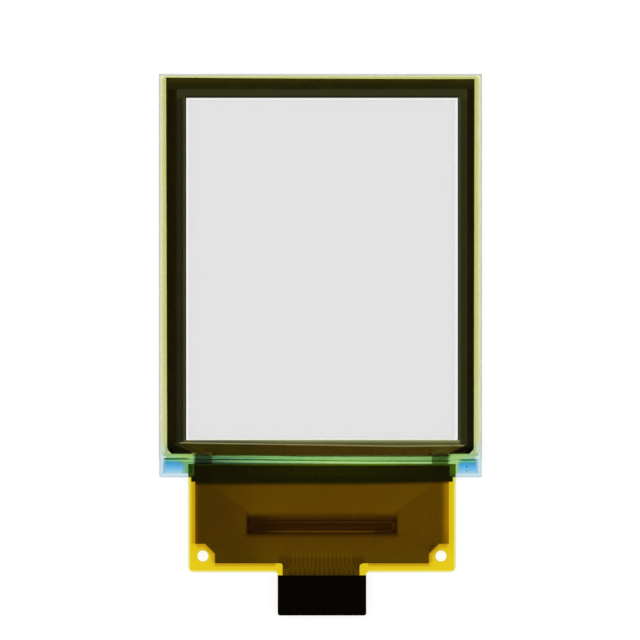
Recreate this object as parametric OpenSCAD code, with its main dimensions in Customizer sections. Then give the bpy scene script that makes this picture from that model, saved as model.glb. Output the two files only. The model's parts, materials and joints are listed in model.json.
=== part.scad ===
// Transparent OLED display module. Two sheets of glass hold a see-through pixel field between them, and a
// chip-on-film tail is bonded to the ledge of the lower sheet. The back face lies on z = 0, the origin is at
// its centre, +Y points to the upper edge and the tail reaches towards -Y. Sizes are in millimetres.
// The thin layers on the glass are drawn a few micrometres thick, so that each is a solid of its own.

/* [Glass] */
// Width of both sheets of glass
glass_w = 32.8; // [32.4:0.1:40]
// Height of the substrate glass
glass_h = 41; // [40.6:0.1:48]
// Thickness of the substrate glass
substrate_t = 0.5; // [0.4:0.05:0.7]
// Thickness of the cover glass
cover_t = 0.5; // [0.3:0.05:0.7]
// Height of the bare ledge below the cover glass
ledge_h = 1.9; // [1.8:0.05:2.2]
// Chamfer ground on every edge of the glass
edge_chamfer = 0.08; // [0.02:0.01:0.12]
// Length of the facet ground on the lower front corners of the substrate glass
corner_facet = 0.45; // [0.2:0.05:0.6]
// How far a corner facet reaches down the corner
corner_facet_h = 0.3; // [0.1:0.05:0.38]
// Sideways offset of the circuit pattern from the middle of the glass
pattern_shift = 0.15; // [0:0.05:0.3]

/* [Seal] */
// Gap between the two sheets of glass
seal_gap = 0.03; // [0.02:0.005:0.06]
// Width of the seal ring
seal_w = 1.35; // [0.9:0.05:1.6]
// Distance of the seal ring from the edge of the cover glass
seal_inset = 0.2; // [0.15:0.05:0.4]
// Outer corner radius of the seal ring
seal_corner_r = 0.5; // [0.2:0.1:0.8]

/* [Pixel field] */
// Number of columns
columns = 128; // [64:2:128]
// Number of rows
rows = 160; // [80:2:160]
// Rows at each end of the field that carry no signal
blind_rows = 2; // [0:1:2]
// Gap between neighbouring electrodes
electrode_gap = 0.02; // [0.01:0.005:0.04]
// Thickness of a clear electrode
electrode_t = 0.004; // [0.002:0.001:0.006]
// Thickness of the organic film
organic_t = 0.004; // [0.002:0.001:0.006]
// Margin of the organic film round the pixels
organic_margin = 0.05; // [0.02:0.01:0.06]

/* [Border] */
// Clear margin from the pixels to the border at the sides
window_side = 0.36; // [0.34:0.01:0.5]
// Clear margin from the pixels to the border at the top
window_over = 0.55; // [0.54:0.01:0.7]
// Clear margin from the pixels to the border at the bottom
window_under = 0.65; // [0.54:0.01:0.8]
// Bare line between the row electrodes and the border
window_rim = 0.13; // [0.1:0.01:0.15]
// Distance from the lower edge of the glass to the window
window_foot = 3.78; // [3.7:0.02:4.2]
// Width of the border beside the window
border_band = 1.8; // [1.5:0.05:2.4]
// Width of the border above the window
border_head = 1.92; // [1.6:0.02:2.4]
// Bare glass beside the border
border_side = 0.8; // [0.5:0.05:0.9]
// Bare glass above the border
border_top = 0.5; // [0.3:0.05:0.7]
// Distance from the lower edge of the cover glass to the border
border_foot = 0.6; // [0.5:0.05:0.7]
// Cut on the lower corners of the border
border_cut = 0.5; // [0.4:0.05:1]
// Height of the thin line in the lower border
groove_h = 0.1; // [0.05:0.01:0.14]
// Thickness of the border film in its thin lines
groove_t = 0.002; // [0.001:0.0005:0.003]
// Distance from the window to the thin line
groove_drop = 0.2; // [0.12:0.02:0.24]
// How far the thin line runs past the window at each side
groove_reach = 1; // [0.4:0.1:1.1]
// Width of the thin line between the column leads and the row leads
fan_groove_w = 0.05; // [0.03:0.01:0.08]
// Distance along the fan at which that line starts
fan_groove_start = 0.1; // [0.08:0.02:0.4]
// How far the border reaches down over the column leads
skirt_h = 0.24; // [0.1:0.02:0.3]

/* [Leads on the glass] */
// Distance from the window to the start of the fan of leads
fan_drop = 0.36; // [0.3:0.02:0.4]
// Distance from the lower edge of the cover glass to the end of the fan
fan_foot = 0.25; // [0.1:0.05:0.4]
// Distance of a lead's end from the lower edge of the glass
pad_foot = 0.15; // [0.13:0.01:0.3]
// Width of a column lead
column_lead_w = 0.06; // [0.02:0.005:0.07]
// Width of a column lead's pad on the ledge
column_pad_w = 0.1; // [0.08:0.005:0.12]
// Width of a row lead
row_lead_w = 0.005; // [0.002:0.0005:0.006]
// Width of a row lead's pad on the ledge
row_pad_w = 0.015; // [0.008:0.001:0.016]
// Distance from one row pad to the next
row_pad_pitch = 0.021; // [0.018:0.0005:0.021]
// Distance of the outermost pad from the side of the film
pad_side = 0.756; // [0.7:0.002:1]
// Gap between the column pads and the row pads
pad_group_gap = 0.06; // [0.02:0.01:0.1]
// Clear strip on both sides of the row leads in the border
row_lead_clear = 0.15; // [0.1:0.01:0.2]
// Overlap of a row electrode on its lead
row_contact = 0.15; // [0.05:0.01:0.16]

/* [Film] */
// How far the film's sides lie inside the sides of the window
film_inset = 0.2; // [0.1:0.05:0.4]
// Reach of the film below the glass
film_reach = 9.64; // [9.4:0.02:12]
// Overlap of the film on the ledge
film_overlap = 1.37; // [1.2:0.01:1.5]
// Thickness of the film
film_t = 0.038; // [0.025:0.001:0.05]
// Radius of the film's lower corners
film_corner_r = 0.6; // [0.2:0.1:1]
// Thickness of the film copper
copper_t = 0.008; // [0.005:0.001:0.012]
// Thickness of the conductive adhesive
acf_t = 0.008; // [0.004:0.001:0.012]
// How far the conductive adhesive reaches past the outermost pad
acf_side = 0.16; // [0.05:0.01:0.4]
// Distance of the conductive adhesive from the lower edge of the glass
acf_foot = 0.09; // [0.09:0.01:0.12]
// Diameter of the tooling holes
hole_d = 1.1; // [0.8:0.05:1.3]
// Distance of a tooling hole from the side of the film
hole_side = 1.5; // [1.3:0.05:1.6]
// Distance of a tooling hole from the lower edge of the film
hole_foot = 1.65; // [1.3:0.05:1.7]

/* [Solder resist] */
// Thickness of the solder resist
resist_t = 0.01; // [0.005:0.001:0.015]
// Bare film beside the resist
resist_side = 0.7; // [0.5:0.05:0.75]
// Bare film below the resist
resist_foot = 0.9; // [0.7:0.05:1]
// Distance from the glass edge to the resist
resist_start = 0.45; // [0.4:0.05:0.7]
// Bare film round a tooling hole, from its centre
hole_clear = 1.22; // [1:0.02:1.25]
// Radius of the corner round a tooling hole
hole_clear_r = 0.7; // [0.3:0.1:0.9]
// Radius where the resist runs into the tail
neck_r = 0.7; // [0.3:0.1:0.8]
// Window round the chip, which the underfill fills
chip_window = 0.18; // [0.1:0.01:0.3]

/* [Driver chip] */
// Length of the chip
die_w = 14.9; // [14.6:0.1:16]
// Width of the chip
die_h = 1.45; // [1.2:0.05:1.6]
// Thickness of the chip
die_t = 0.3; // [0.2:0.02:0.4]
// Distance from the glass edge to the middle of the chip
die_drop = 4.85; // [4.7:0.05:5]
// Height of a gold bump
bump_t = 0.015; // [0.01:0.001:0.02]
// Length of a gold bump
bump_l = 0.09; // [0.06:0.01:0.12]
// Distance of a row of bumps from the chip's long edge
bump_inset = 0.29; // [0.2:0.01:0.35]
// Distance of the last bump from the chip's short edge
bump_end = 0.3; // [0.2:0.05:0.4]
// Distance from one row bump to the next
row_bump_pitch = 0.04; // [0.03:0.001:0.042]
// Distance from one input bump to the next
input_bump_pitch = 0.42; // [0.3:0.01:0.42]
// How far the underfill climbs the chip's sides
underfill_climb = 0.18; // [0.08:0.02:0.19]
// Clear room round a row of bumps in the underfill
bump_clear = 0.02; // [0.01:0.01:0.04]

/* [Traces on the film] */
// Width of a column trace
column_trace_w = 0.035; // [0.02:0.005:0.06]
// Distance from the glass edge to the bend of the column traces
column_bend = 0.9; // [0.8:0.05:1.2]
// Straight end of a column trace above its bump
column_straight = 0.7; // [0.4:0.05:0.8]
// Width of a row trace
row_trace_w = 0.009; // [0.006:0.001:0.01]
// Distance from the chip to the nearest row trace below it
row_trace_drop = 0.5; // [0.35:0.05:0.6]
// Clear room between the row traces and a tooling hole's bare film
row_trace_clear = 0.1; // [0.05:0.05:0.2]
// Width of an input trace
input_trace_w = 0.24; // [0.1:0.01:0.26]
// Height of the slanted part of the input traces
input_slant = 0.5; // [0.3:0.05:0.7]

/* [Tail] */
// Number of contacts
contacts = 17; // [9:2:17]
// Distance from one contact to the next
contact_pitch = 0.5; // [0.45:0.01:0.5]
// Contacts at each side that carry no trace
blank_contacts = 1; // [0:1:2]
// Width of a contact
contact_w = 0.3; // [0.24:0.01:0.35]
// Length of a contact
contact_l = 3; // [2:0.1:3.2]
// Distance of a contact from the tail's end
contact_foot = 0.1; // [0:0.05:0.3]
// Length of the tail below the film
tail_l = 4.38; // [4:0.02:6]
// Radius where the tail meets the film
tail_r = 0.25; // [0.1:0.05:0.3]
// Radius of the tail's lower corners
tail_corner_r = 0.25; // [0.1:0.05:0.5]
// Neck of bare film above the stiffener
neck_l = 0.31; // [0.3:0.01:0.6]
// Thickness of the tail at its contacts
tail_t = 0.3; // [0.2:0.01:0.35]
// Thickness of the stiffener's adhesive tape
tape_t = 0.03; // [0.02:0.005:0.05]

/* [Resin] */
// Height of the ledge resin on the edge of the cover glass
ledge_resin_h = 0.32; // [0.2:0.02:0.36]
// How far the ledge resin covers the film's end
ledge_resin_lap = 0.3; // [0.1:0.05:0.5]
// How far the ledge resin covers the film's sides
ledge_resin_side = 0.6; // [0.2:0.05:1]
// Length of the slope at each end of the ledge resin
ledge_resin_slope = 0.7; // [0.3:0.05:1]
// Bare glass between the ledge resin and the edges of the glass
ledge_resin_rim = 0.4; // [0.3:0.05:0.6]
// Thickness of the ledge resin at its thin edge
ledge_resin_lip = 0.02; // [0.01:0.005:0.04]
// How far the edge resin reaches along the film
edge_resin_l = 0.45; // [0.2:0.05:0.45]
// How far the edge resin stays inside the film's sides
edge_resin_side = 0.3; // [0.1:0.05:0.6]
// How far the edge resin reaches down the glass edge
edge_resin_h = 0.28; // [0.2:0.02:0.35]

/* [Hidden] */
$fn = 48;

// Heights of the layers
lead_t = electrode_t + organic_t;
z_glass = substrate_t;
z_organic = z_glass + electrode_t;
z_lead_top = z_glass + lead_t;
z_border_top = z_lead_top + electrode_t;
z_cover = z_glass + seal_gap;
z_copper = z_lead_top + acf_t;
z_resist = z_copper - resist_t;
z_film = z_copper + copper_t;
z_film_top = z_film + film_t;
z_die_top = z_copper - bump_t;
z_die = z_die_top - die_t;
z_tape_top = z_film_top + tape_t;
stiffener_t = tail_t - copper_t - film_t - tape_t;

// Heights along Y, from the edges of the glass downwards
y_glass_top = glass_h / 2;
y_glass_foot = -glass_h / 2;
y_cover_foot = y_glass_foot + ledge_h;
cover_h = glass_h - ledge_h;
y_window_foot = y_glass_foot + window_foot;
y_fan_top = y_window_foot - fan_drop;
y_fan_foot = y_cover_foot + fan_foot;
y_border_foot = y_cover_foot + border_foot;
y_pad_foot = y_glass_foot + pad_foot;
y_film_head = y_glass_foot + film_overlap;
y_film_foot = y_glass_foot - film_reach;
y_tail_foot = y_film_foot - tail_l;
y_stiffener_head = y_film_foot - neck_l;
y_contact_head = y_tail_foot + contact_foot + contact_l;
y_die = y_glass_foot - die_drop;
y_upper_bumps = y_die + die_h / 2 - bump_inset;
y_lower_bumps = y_die - die_h / 2 + bump_inset;
y_resist_head = y_glass_foot - resist_start;
y_resist_foot = y_film_foot + resist_foot;

// The border, the window in it and the pixel field
border_w = glass_w - 2 * border_side;
window_w = border_w - 2 * border_band;
window_h = glass_h - border_top - border_head - window_foot;
field_w = window_w - 2 * window_side;
field_h = window_h - window_over - window_under;
y_field_foot = y_window_foot + window_under;
column_pitch = field_w / columns;
row_pitch = field_h / rows;
anode_w = column_pitch - electrode_gap;
cathode_w = row_pitch - electrode_gap;
cathode_l = window_w - 2 * window_rim;
anode_top = y_window_foot + window_h - window_rim;

// The film, the leads in the border and the pads below it
film_w = window_w - 2 * film_inset;
row_leads_per_side = rows / 2;
row_lead_room = border_band - pattern_shift - 2 * row_lead_clear;
row_lead_pitch = row_lead_room / row_leads_per_side;
row_pads_w = row_leads_per_side * row_pad_pitch;
pads_half = film_w / 2 - pad_side;
row_pads_start = pads_half - row_pads_w;
column_pads_w = 2 * (row_pads_start - pad_group_gap);
column_pad_pitch = column_pads_w / columns;
row_leads_half = window_w / 2 + row_lead_clear + row_lead_room;

// The film's holes, resist and copper
hole_x = film_w / 2 - hole_side;
y_hole = y_film_foot + hole_foot;
hole_r = hole_d / 2;
resist_w = film_w - 2 * resist_side;
bump_half = die_w / 2 - bump_end;
column_bump_pitch = 2 * bump_half / (columns - 1);
tail_w = (contacts + 1) * contact_pitch;
inputs = contacts - 2 * blank_contacts;
neck_w = (inputs - 1) * contact_pitch + input_trace_w;
y_input_bend = y_resist_foot - neck_r + input_slant;
y_row_run = y_die - die_h / 2 - row_trace_drop;
// Sum of x and -y at which the outermost slanted row trace passes clear of a tooling hole
row_slant_room = sqrt(2) * (hole_clear + row_trace_clear + row_pads_w);
row_slant = hole_x - y_hole - row_slant_room;

// Steps of a rounded resin surface
resin_steps = 8;

function column_x(i, pitch) = (i - (columns - 1) / 2) * pitch;
function row_y(j) = y_field_foot + (j + 0.5) * row_pitch;
function row_pad_x(k) = row_pads_start + (k + 0.5) * row_pad_pitch;
function row_bump_x(k) = bump_half - k * row_bump_pitch;
function input_x(i, pitch) = (i - (inputs - 1) / 2) * pitch;

// Centre line of a column lead, from the end of its electrode to its pad
function column_lead_path(i) = [
    [column_x(i, column_pitch), y_window_foot],
    [column_x(i, column_pitch), y_fan_top],
    [column_x(i, column_pad_pitch), y_fan_foot],
    [column_x(i, column_pad_pitch), y_pad_foot]
];

// Centre line of the k-th row lead on the right, counted from the lowest row, which lies nearest the window
function row_lead_path(k, row) = let (x = window_w / 2 + row_lead_clear + (k + 0.5) * row_lead_pitch) [
    [cathode_l / 2 - row_contact, row_y(row)],
    [x, row_y(row)],
    [x, y_fan_top],
    [row_pad_x(k), y_fan_foot],
    [row_pad_x(k), y_pad_foot]
];

// Centre line of the thin line between the column leads and the row leads on the right
function fan_groove_path() = let (
    last_column = column_x(columns - 1, column_pitch),
    first_row = window_w / 2 + row_lead_clear,
    top = [(last_column + first_row) / 2, y_fan_top],
    foot = [row_pads_start - pad_group_gap / 2, y_fan_foot]
) [top + fan_groove_start * direction(top, foot), foot];

// Centre line of a column trace on the film, from its pad to its bump
function column_trace_path(i) = [
    [column_x(i, column_pad_pitch), y_film_head],
    [column_x(i, column_pad_pitch), y_glass_foot - column_bend],
    [column_x(i, column_bump_pitch), y_upper_bumps + column_straight],
    [column_x(i, column_bump_pitch), y_upper_bumps - bump_l / 2]
];

// Centre line of the k-th row trace on the right, which runs round the side to the chip's lower edge
function row_trace_path(k) = let (
    step = (k + 0.5) * row_pad_pitch,
    slant = row_slant + sqrt(2) * step,
    y_run = y_row_run - step
) [
    [row_pad_x(k), y_film_head],
    [row_pad_x(k), row_pad_x(k) - slant],
    [slant + y_run, y_run],
    [row_bump_x(k), y_run],
    [row_bump_x(k), y_lower_bumps + bump_l / 2]
];

// Centre line of an input trace, from its bump to its contact
function input_trace_path(i) = [
    [input_x(i, input_bump_pitch), y_lower_bumps + bump_l / 2],
    [input_x(i, input_bump_pitch), y_input_bend],
    [input_x(i, contact_pitch), y_input_bend - input_slant],
    [input_x(i, contact_pitch), y_contact_head]
];

function direction(a, b) = (b - a) / norm(b - a);
function left_of(d) = [-d[1], d[0]];

// Point beside corner i of a path, at the given distance to its left
function beside(path, i, distance) = let (
    last = len(path) - 1,
    into = direction(path[max(i - 1, 0)], path[max(i, 1)]),
    out = direction(path[min(i, last - 1)], path[min(i + 1, last)]),
    mitre = left_of(into) + left_of(out)
) path[i] + mitre * distance / (mitre * left_of(into));

// Strip of constant width along a path
module strip(path, w) {
    last = len(path) - 1;
    left = [for (i = [0:last]) beside(path, i, w / 2)];
    right = [for (i = [last:-1:0]) beside(path, i, -w / 2)];
    polygon(concat(left, right));
}

// Lead on the glass: a strip along a path, widened to a pad over its last stretch
module lead(path, w, pad_w) {
    last = len(path) - 1;
    strip(path, w);
    strip([path[last - 1], path[last]], pad_w);
}

module on_pattern(z) {
    translate([pattern_shift, 0, z]) children();
}

module both_sides() {
    children();
    mirror([1, 0, 0]) children();
}

// Rectangle by its middle in x and its foot in y
module block(w, h, y_foot) {
    translate([-w / 2, y_foot]) square([w, h]);
}

// Waste outside a rounded corner whose arc ends at the origin and at (r, r)
module corner_waste(r) {
    difference() {
        translate([0, -r]) square([2 * r, 2 * r]);
        translate([0, r]) circle(r);
    }
}

// Rectangle with only its two lower corners rounded
module round_footed_block(w, h, y_foot, r) {
    difference() {
        block(w, h, y_foot);
        both_sides() translate([w / 2 - r, y_foot]) corner_waste(r);
    }
}

module rounded_block(w, h, y_foot, r) {
    difference() {
        round_footed_block(w, h, y_foot, r);
        both_sides() translate([w / 2 - r, y_foot + h]) mirror([0, 1]) corner_waste(r);
    }
}

// Rectangle in profile with its four corners cut
module cut_block(w, h, cut) {
    polygon([
        [-w / 2 + cut, 0], [w / 2 - cut, 0], [w / 2, cut], [w / 2, h - cut],
        [w / 2 - cut, h], [-w / 2 + cut, h], [-w / 2, h - cut], [-w / 2, cut]
    ]);
}

// Profile drawn with y as height, extruded along Y over the length l about the middle
module along_y(l) {
    translate([0, l / 2, 0]) rotate([90, 0, 0]) linear_extrude(l) children();
}

// Profile drawn with x as +Y and y as height, extruded along X over the length l about the middle
module along_x(l) {
    translate([-l / 2, 0, 0]) rotate([90, 0, 90]) linear_extrude(l) children();
}

// Sheet of glass with a chamfer on every edge
module glass_sheet(w, h, t) {
    intersection() {
        along_y(h) cut_block(w, t, edge_chamfer);
        along_x(w) cut_block(h, t, edge_chamfer);
    }
}

module border_outline() {
    half = border_w / 2;
    y_top = y_glass_top - border_top;
    polygon([
        [-half + border_cut, y_border_foot], [half - border_cut, y_border_foot],
        [half, y_border_foot + border_cut], [half, y_top],
        [-half, y_top], [-half, y_border_foot + border_cut]
    ]);
}

module seal_outline() {
    outer_w = glass_w - 2 * seal_inset;
    outer_h = cover_h - 2 * seal_inset;
    y_foot = y_cover_foot + seal_inset;
    difference() {
        rounded_block(outer_w, outer_h, y_foot, seal_corner_r);
        block(outer_w - 2 * seal_w, outer_h - 2 * seal_w, y_foot + seal_w);
    }
}

// Area of the leads between the border and the ledge, with the clear strip beside them
module fan_outline() {
    top = row_leads_half + row_lead_clear;
    foot = pads_half + row_lead_clear;
    polygon([
        [-top, y_fan_top], [-foot, y_fan_foot], [-foot, y_glass_foot],
        [foot, y_glass_foot], [foot, y_fan_foot], [top, y_fan_top]
    ]);
}

// Corner of bare film round a tooling hole, with its inner corner rounded
module hole_corner() {
    x_in = hole_x - hole_clear;
    y_in = y_hole + hole_clear;
    reach_x = film_w / 2 - x_in;
    reach_y = y_in - y_film_foot;
    translate([x_in + hole_clear_r, y_film_foot]) square([reach_x - hole_clear_r, reach_y]);
    translate([x_in, y_film_foot]) square([reach_x, reach_y - hole_clear_r]);
    translate([x_in + hole_clear_r, y_in - hole_clear_r]) circle(hole_clear_r);
}

// Fillet in the corner between a lower edge at height y and the side of a tail at x, rooted in both
module neck_fillet(x, y, r) {
    difference() {
        translate([x - r, y - r]) square([2 * r, 2 * r]);
        translate([x + r, y - r]) circle(r);
    }
}

// Height of a hollow resin surface at the share u of the way from the wall to its thin edge
function resin_height(u, h, lip) = lip + (h - lip) * pow(1 - u, 2);

// Wedge of resin from a wall at x = 0 to its thin edge at x = -l, on a floor at the given height
module resin_wedge(l, h, lip, floor_h) {
    surface_points = [for (s = [0:resin_steps])
        let (u = s / resin_steps) [-u * l, floor_h + resin_height(u, h, lip)]];
    polygon(concat([[0, floor_h]], surface_points, [[-l, floor_h]]));
}

// Bead of resin seen along Y, sloped at both ends
module resin_bead(w, h, lip, slope, floor_h) {
    rising = [for (s = [resin_steps:-1:0])
        let (u = s / resin_steps) [(1 - u) * slope - w / 2, floor_h + resin_height(u, h, lip)]];
    falling = [for (s = [0:resin_steps])
        let (u = s / resin_steps) [w / 2 - (1 - u) * slope, floor_h + resin_height(u, h, lip)]];
    polygon(concat([[-w / 2, floor_h]], rising, falling, [[w / 2, floor_h]]));
}

// Waste of a corner facet, with the sharp lower right corner of the front face at the origin
module facet_waste() {
    reach = corner_facet / sqrt(2);
    rotate([0, 0, -135]) along_x(4 * reach) polygon([
        [-2 * reach, corner_facet_h], [reach, -2 * corner_facet_h], [reach, corner_facet_h]
    ]);
}

module substrate_glass() {
    color([0.86, 0.9, 0.86, 0.35]) difference() {
        glass_sheet(glass_w, glass_h, substrate_t);
        both_sides() translate([glass_w / 2, y_glass_foot, z_glass]) facet_waste();
    }
}

module cover_glass() {
    color([0.86, 0.9, 0.88, 0.35])
        translate([0, y_cover_foot + cover_h / 2, z_cover]) glass_sheet(glass_w, cover_h, cover_t);
}

// The ring lies on the bare glass outside the circuit and steps over the border and the leads
module seal_ring() {
    color([0.78, 0.8, 0.46, 0.8]) {
        translate([0, 0, z_border_top]) linear_extrude(z_cover - z_border_top) seal_outline();
        translate([0, 0, z_glass]) linear_extrude(z_border_top - z_glass) difference() {
            seal_outline();
            border_outline();
            translate([pattern_shift, 0]) fan_outline();
        }
    }
}

module anode_columns() {
    color([0.85, 0.9, 0.88, 0.3]) on_pattern(z_glass) for (i = [0:columns - 1])
        translate([column_x(i, column_pitch) - anode_w / 2, y_window_foot, 0])
            cube([anode_w, anode_top - y_window_foot, electrode_t]);
}

module emissive_film() {
    color([0.9, 0.9, 0.86, 0.3]) on_pattern(z_organic) linear_extrude(organic_t)
        block(field_w + 2 * organic_margin, window_h - 2 * window_rim, y_window_foot + window_rim);
}

module cathode_rows() {
    color([0.82, 0.82, 0.82, 0.4]) on_pattern(z_lead_top) for (j = [-blind_rows:rows + blind_rows - 1])
        translate([-cathode_l / 2, row_y(j) - cathode_w / 2, 0]) cube([cathode_l, cathode_w, electrode_t]);
}

// Opaque film round the window, with a skirt over the column leads and thin lines above and beside the fan
module border_film() {
    groove_w = window_w + 2 * groove_reach;
    color([0.1, 0.1, 0.03]) translate([0, 0, z_lead_top]) difference() {
        linear_extrude(electrode_t) difference() {
            union() {
                border_outline();
                translate([pattern_shift, 0]) block(column_pads_w, skirt_h, y_border_foot - skirt_h);
            }
            translate([pattern_shift, 0]) block(window_w, window_h, y_window_foot);
        }
        translate([pattern_shift, 0, groove_t]) linear_extrude(electrode_t) {
            block(groove_w, groove_h, y_window_foot - groove_drop - groove_h);
            both_sides() strip(fan_groove_path(), fan_groove_w);
        }
    }
}

module row_leads(first) {
    for (k = [0:row_leads_per_side - 1])
        linear_extrude(lead_t) lead(row_lead_path(k, 2 * k + first), row_lead_w, row_pad_w);
}

module row_leads_left() {
    color([0.25, 0.25, 0.2]) on_pattern(z_glass) mirror([1, 0, 0]) row_leads(1);
}

module row_leads_right() {
    color([0.25, 0.25, 0.2]) on_pattern(z_glass) row_leads(0);
}

module column_leads() {
    color([0.5, 0.65, 0.4]) on_pattern(z_glass) for (i = [0:columns - 1])
        linear_extrude(lead_t) lead(column_lead_path(i), column_lead_w, column_pad_w);
}

module acf_strip() {
    color([0.2, 0.22, 0.06]) on_pattern(z_lead_top) linear_extrude(acf_t)
        block(2 * (pads_half + acf_side), film_overlap - acf_foot, y_glass_foot + acf_foot);
}

module film_outline() {
    round_footed_block(film_w, y_film_head - y_film_foot, y_film_foot, film_corner_r);
    round_footed_block(tail_w, y_film_foot + film_corner_r - y_tail_foot, y_tail_foot, tail_corner_r);
    both_sides() neck_fillet(tail_w / 2, y_film_foot, tail_r);
}

module base_film() {
    color([0.88, 0.73, 0.05, 0.8]) on_pattern(z_film) difference() {
        linear_extrude(film_t) film_outline();
        both_sides() translate([hole_x, y_hole, -film_t]) cylinder(r = hole_r, h = 3 * film_t);
    }
}

module column_traces() {
    color([0.45, 0.3, 0.1]) on_pattern(z_copper) for (i = [0:columns - 1])
        linear_extrude(copper_t) strip(column_trace_path(i), column_trace_w);
}

module row_traces() {
    for (k = [0:row_leads_per_side - 1])
        linear_extrude(copper_t) strip(row_trace_path(k), row_trace_w);
}

module row_traces_left() {
    color([0.45, 0.3, 0.1]) on_pattern(z_copper) mirror([1, 0, 0]) row_traces();
}

module row_traces_right() {
    color([0.45, 0.3, 0.1]) on_pattern(z_copper) row_traces();
}

module input_traces() {
    color([0.45, 0.3, 0.1]) on_pattern(z_copper) for (i = [0:inputs - 1])
        linear_extrude(copper_t) strip(input_trace_path(i), input_trace_w);
}

module contact_fingers() {
    color([0.85, 0.68, 0.3]) on_pattern(z_copper) for (i = [0:contacts - 1])
        translate([(i - (contacts - 1) / 2) * contact_pitch - contact_w / 2, y_tail_foot + contact_foot, 0])
            cube([contact_w, contact_l, copper_t]);
}

module resist_outline() {
    difference() {
        union() {
            block(resist_w, y_resist_head - y_resist_foot, y_resist_foot);
            block(neck_w, y_resist_foot - y_contact_head, y_contact_head);
            both_sides() neck_fillet(neck_w / 2, y_resist_foot, neck_r);
        }
        both_sides() hole_corner();
        block(die_w + 2 * chip_window, die_h + 2 * chip_window, y_die - die_h / 2 - chip_window);
    }
}

module solder_resist() {
    color([0.33, 0.22, 0.02]) on_pattern(z_resist) linear_extrude(resist_t) resist_outline();
}

module driver_die() {
    color([0.14, 0.1, 0.1]) on_pattern(z_die) linear_extrude(die_t) block(die_w, die_h, y_die - die_h / 2);
}

// One bump of the given width, centred at x on a row of bumps
module bump(x, y, w) {
    translate([x - w / 2, y - bump_l / 2, 0]) cube([w, bump_l, bump_t]);
}

module gold_bumps() {
    color([0.9, 0.7, 0.3]) on_pattern(z_die_top) {
        for (i = [0:columns - 1]) bump(column_x(i, column_bump_pitch), y_upper_bumps, column_trace_w);
        for (i = [0:inputs - 1]) bump(input_x(i, input_bump_pitch), y_lower_bumps, input_trace_w);
        for (k = [0:row_leads_per_side - 1])
            both_sides() bump(row_bump_x(k), y_lower_bumps, row_trace_w);
    }
}

// The underfill fills the gap over the chip, leaves the rows of bumps clear and climbs the chip's sides
module underfill() {
    top = bump_t + underfill_climb;
    lane_w = 2 * bump_half + input_trace_w + 2 * bump_clear;
    lane_h = bump_l + 2 * bump_clear;
    spread_w = die_w + 2 * chip_window;
    spread_h = die_h + 2 * chip_window;
    color([0.2, 0.15, 0.12]) on_pattern(z_die_top - underfill_climb) difference() {
        translate([0, y_die, 0]) intersection() {
            along_y(spread_h) polygon([
                [-die_w / 2, 0], [die_w / 2, 0], [spread_w / 2, top], [-spread_w / 2, top]
            ]);
            along_x(spread_w) polygon([
                [-die_h / 2, 0], [die_h / 2, 0], [spread_h / 2, top], [-spread_h / 2, top]
            ]);
        }
        translate([0, 0, -die_t]) linear_extrude(die_t + underfill_climb)
            block(die_w, die_h, y_die - die_h / 2);
        for (y = [y_upper_bumps, y_lower_bumps])
            translate([0, 0, underfill_climb]) linear_extrude(2 * bump_t)
                block(lane_w, lane_h, y - lane_h / 2);
    }
}

module stiffener_outline() {
    round_footed_block(tail_w, y_stiffener_head - y_tail_foot, y_tail_foot, tail_corner_r);
}

module stiffener_tape() {
    color([0.3, 0.28, 0.25]) on_pattern(z_film_top) linear_extrude(tape_t) stiffener_outline();
}

module stiffener() {
    color([0.04, 0.035, 0.03]) on_pattern(z_tape_top) linear_extrude(stiffener_t) stiffener_outline();
}

// The bead lies along the edge of the cover glass, laps over the film's end and sides and fills the corners
module ledge_resin() {
    resin_w = glass_w - 2 * ledge_resin_rim;
    resin_h = z_film_top - z_glass + ledge_resin_h;
    gap_l = y_cover_foot - y_film_head;
    corner_l = ledge_h - ledge_resin_rim;
    color([0.3, 0.62, 0.85, 0.8]) translate([0, y_cover_foot, 0]) intersection() {
        translate([0, -ledge_h / 2, 0]) along_y(ledge_h)
            resin_bead(resin_w, resin_h, ledge_resin_lip, ledge_resin_slope, z_glass);
        union() {
            along_x(resin_w) resin_wedge(gap_l + ledge_resin_lap, ledge_resin_h, ledge_resin_lip, z_film_top);
            along_x(resin_w) translate([-gap_l, z_lead_top]) square([gap_l, z_film_top - z_lead_top]);
            for (side = [-1, 1]) {
                film_edge = film_w / 2 + side * pattern_shift;
                corner_w = resin_w / 2 - film_edge;
                translate([side * (film_edge + corner_w / 2), 0, 0]) along_x(corner_w)
                    resin_wedge(corner_l, resin_h, ledge_resin_lip, z_glass);
                translate([side * (film_edge - ledge_resin_side / 2), 0, 0]) along_x(ledge_resin_side)
                    resin_wedge(corner_l, ledge_resin_h, ledge_resin_lip, z_film_top);
            }
        }
    }
}

// The fillet hangs below the film at the edge of the glass and fills the chamfer up to the adhesive
module edge_resin() {
    fillet = [for (s = [0:resin_steps])
        let (u = s / resin_steps) [-u * edge_resin_l, z_copper - resin_height(u, edge_resin_h, 0)]];
    nose = [[acf_foot, z_copper], [acf_foot, z_glass], [edge_chamfer, z_glass], [0, z_glass - edge_chamfer]];
    color([0.12, 0.14, 0.04]) on_pattern(0) translate([0, y_glass_foot, 0])
        along_x(film_w - 2 * edge_resin_side) polygon(concat(nose, fillet));
}

substrate_glass();
cover_glass();
seal_ring();
anode_columns();
emissive_film();
cathode_rows();
border_film();
row_leads_left();
row_leads_right();
column_leads();
acf_strip();
base_film();
column_traces();
row_traces_left();
row_traces_right();
input_traces();
contact_fingers();
solder_resist();
driver_die();
gold_bumps();
underfill();
stiffener_tape();
stiffener();
ledge_resin();
edge_resin();
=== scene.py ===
import json
import math

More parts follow.
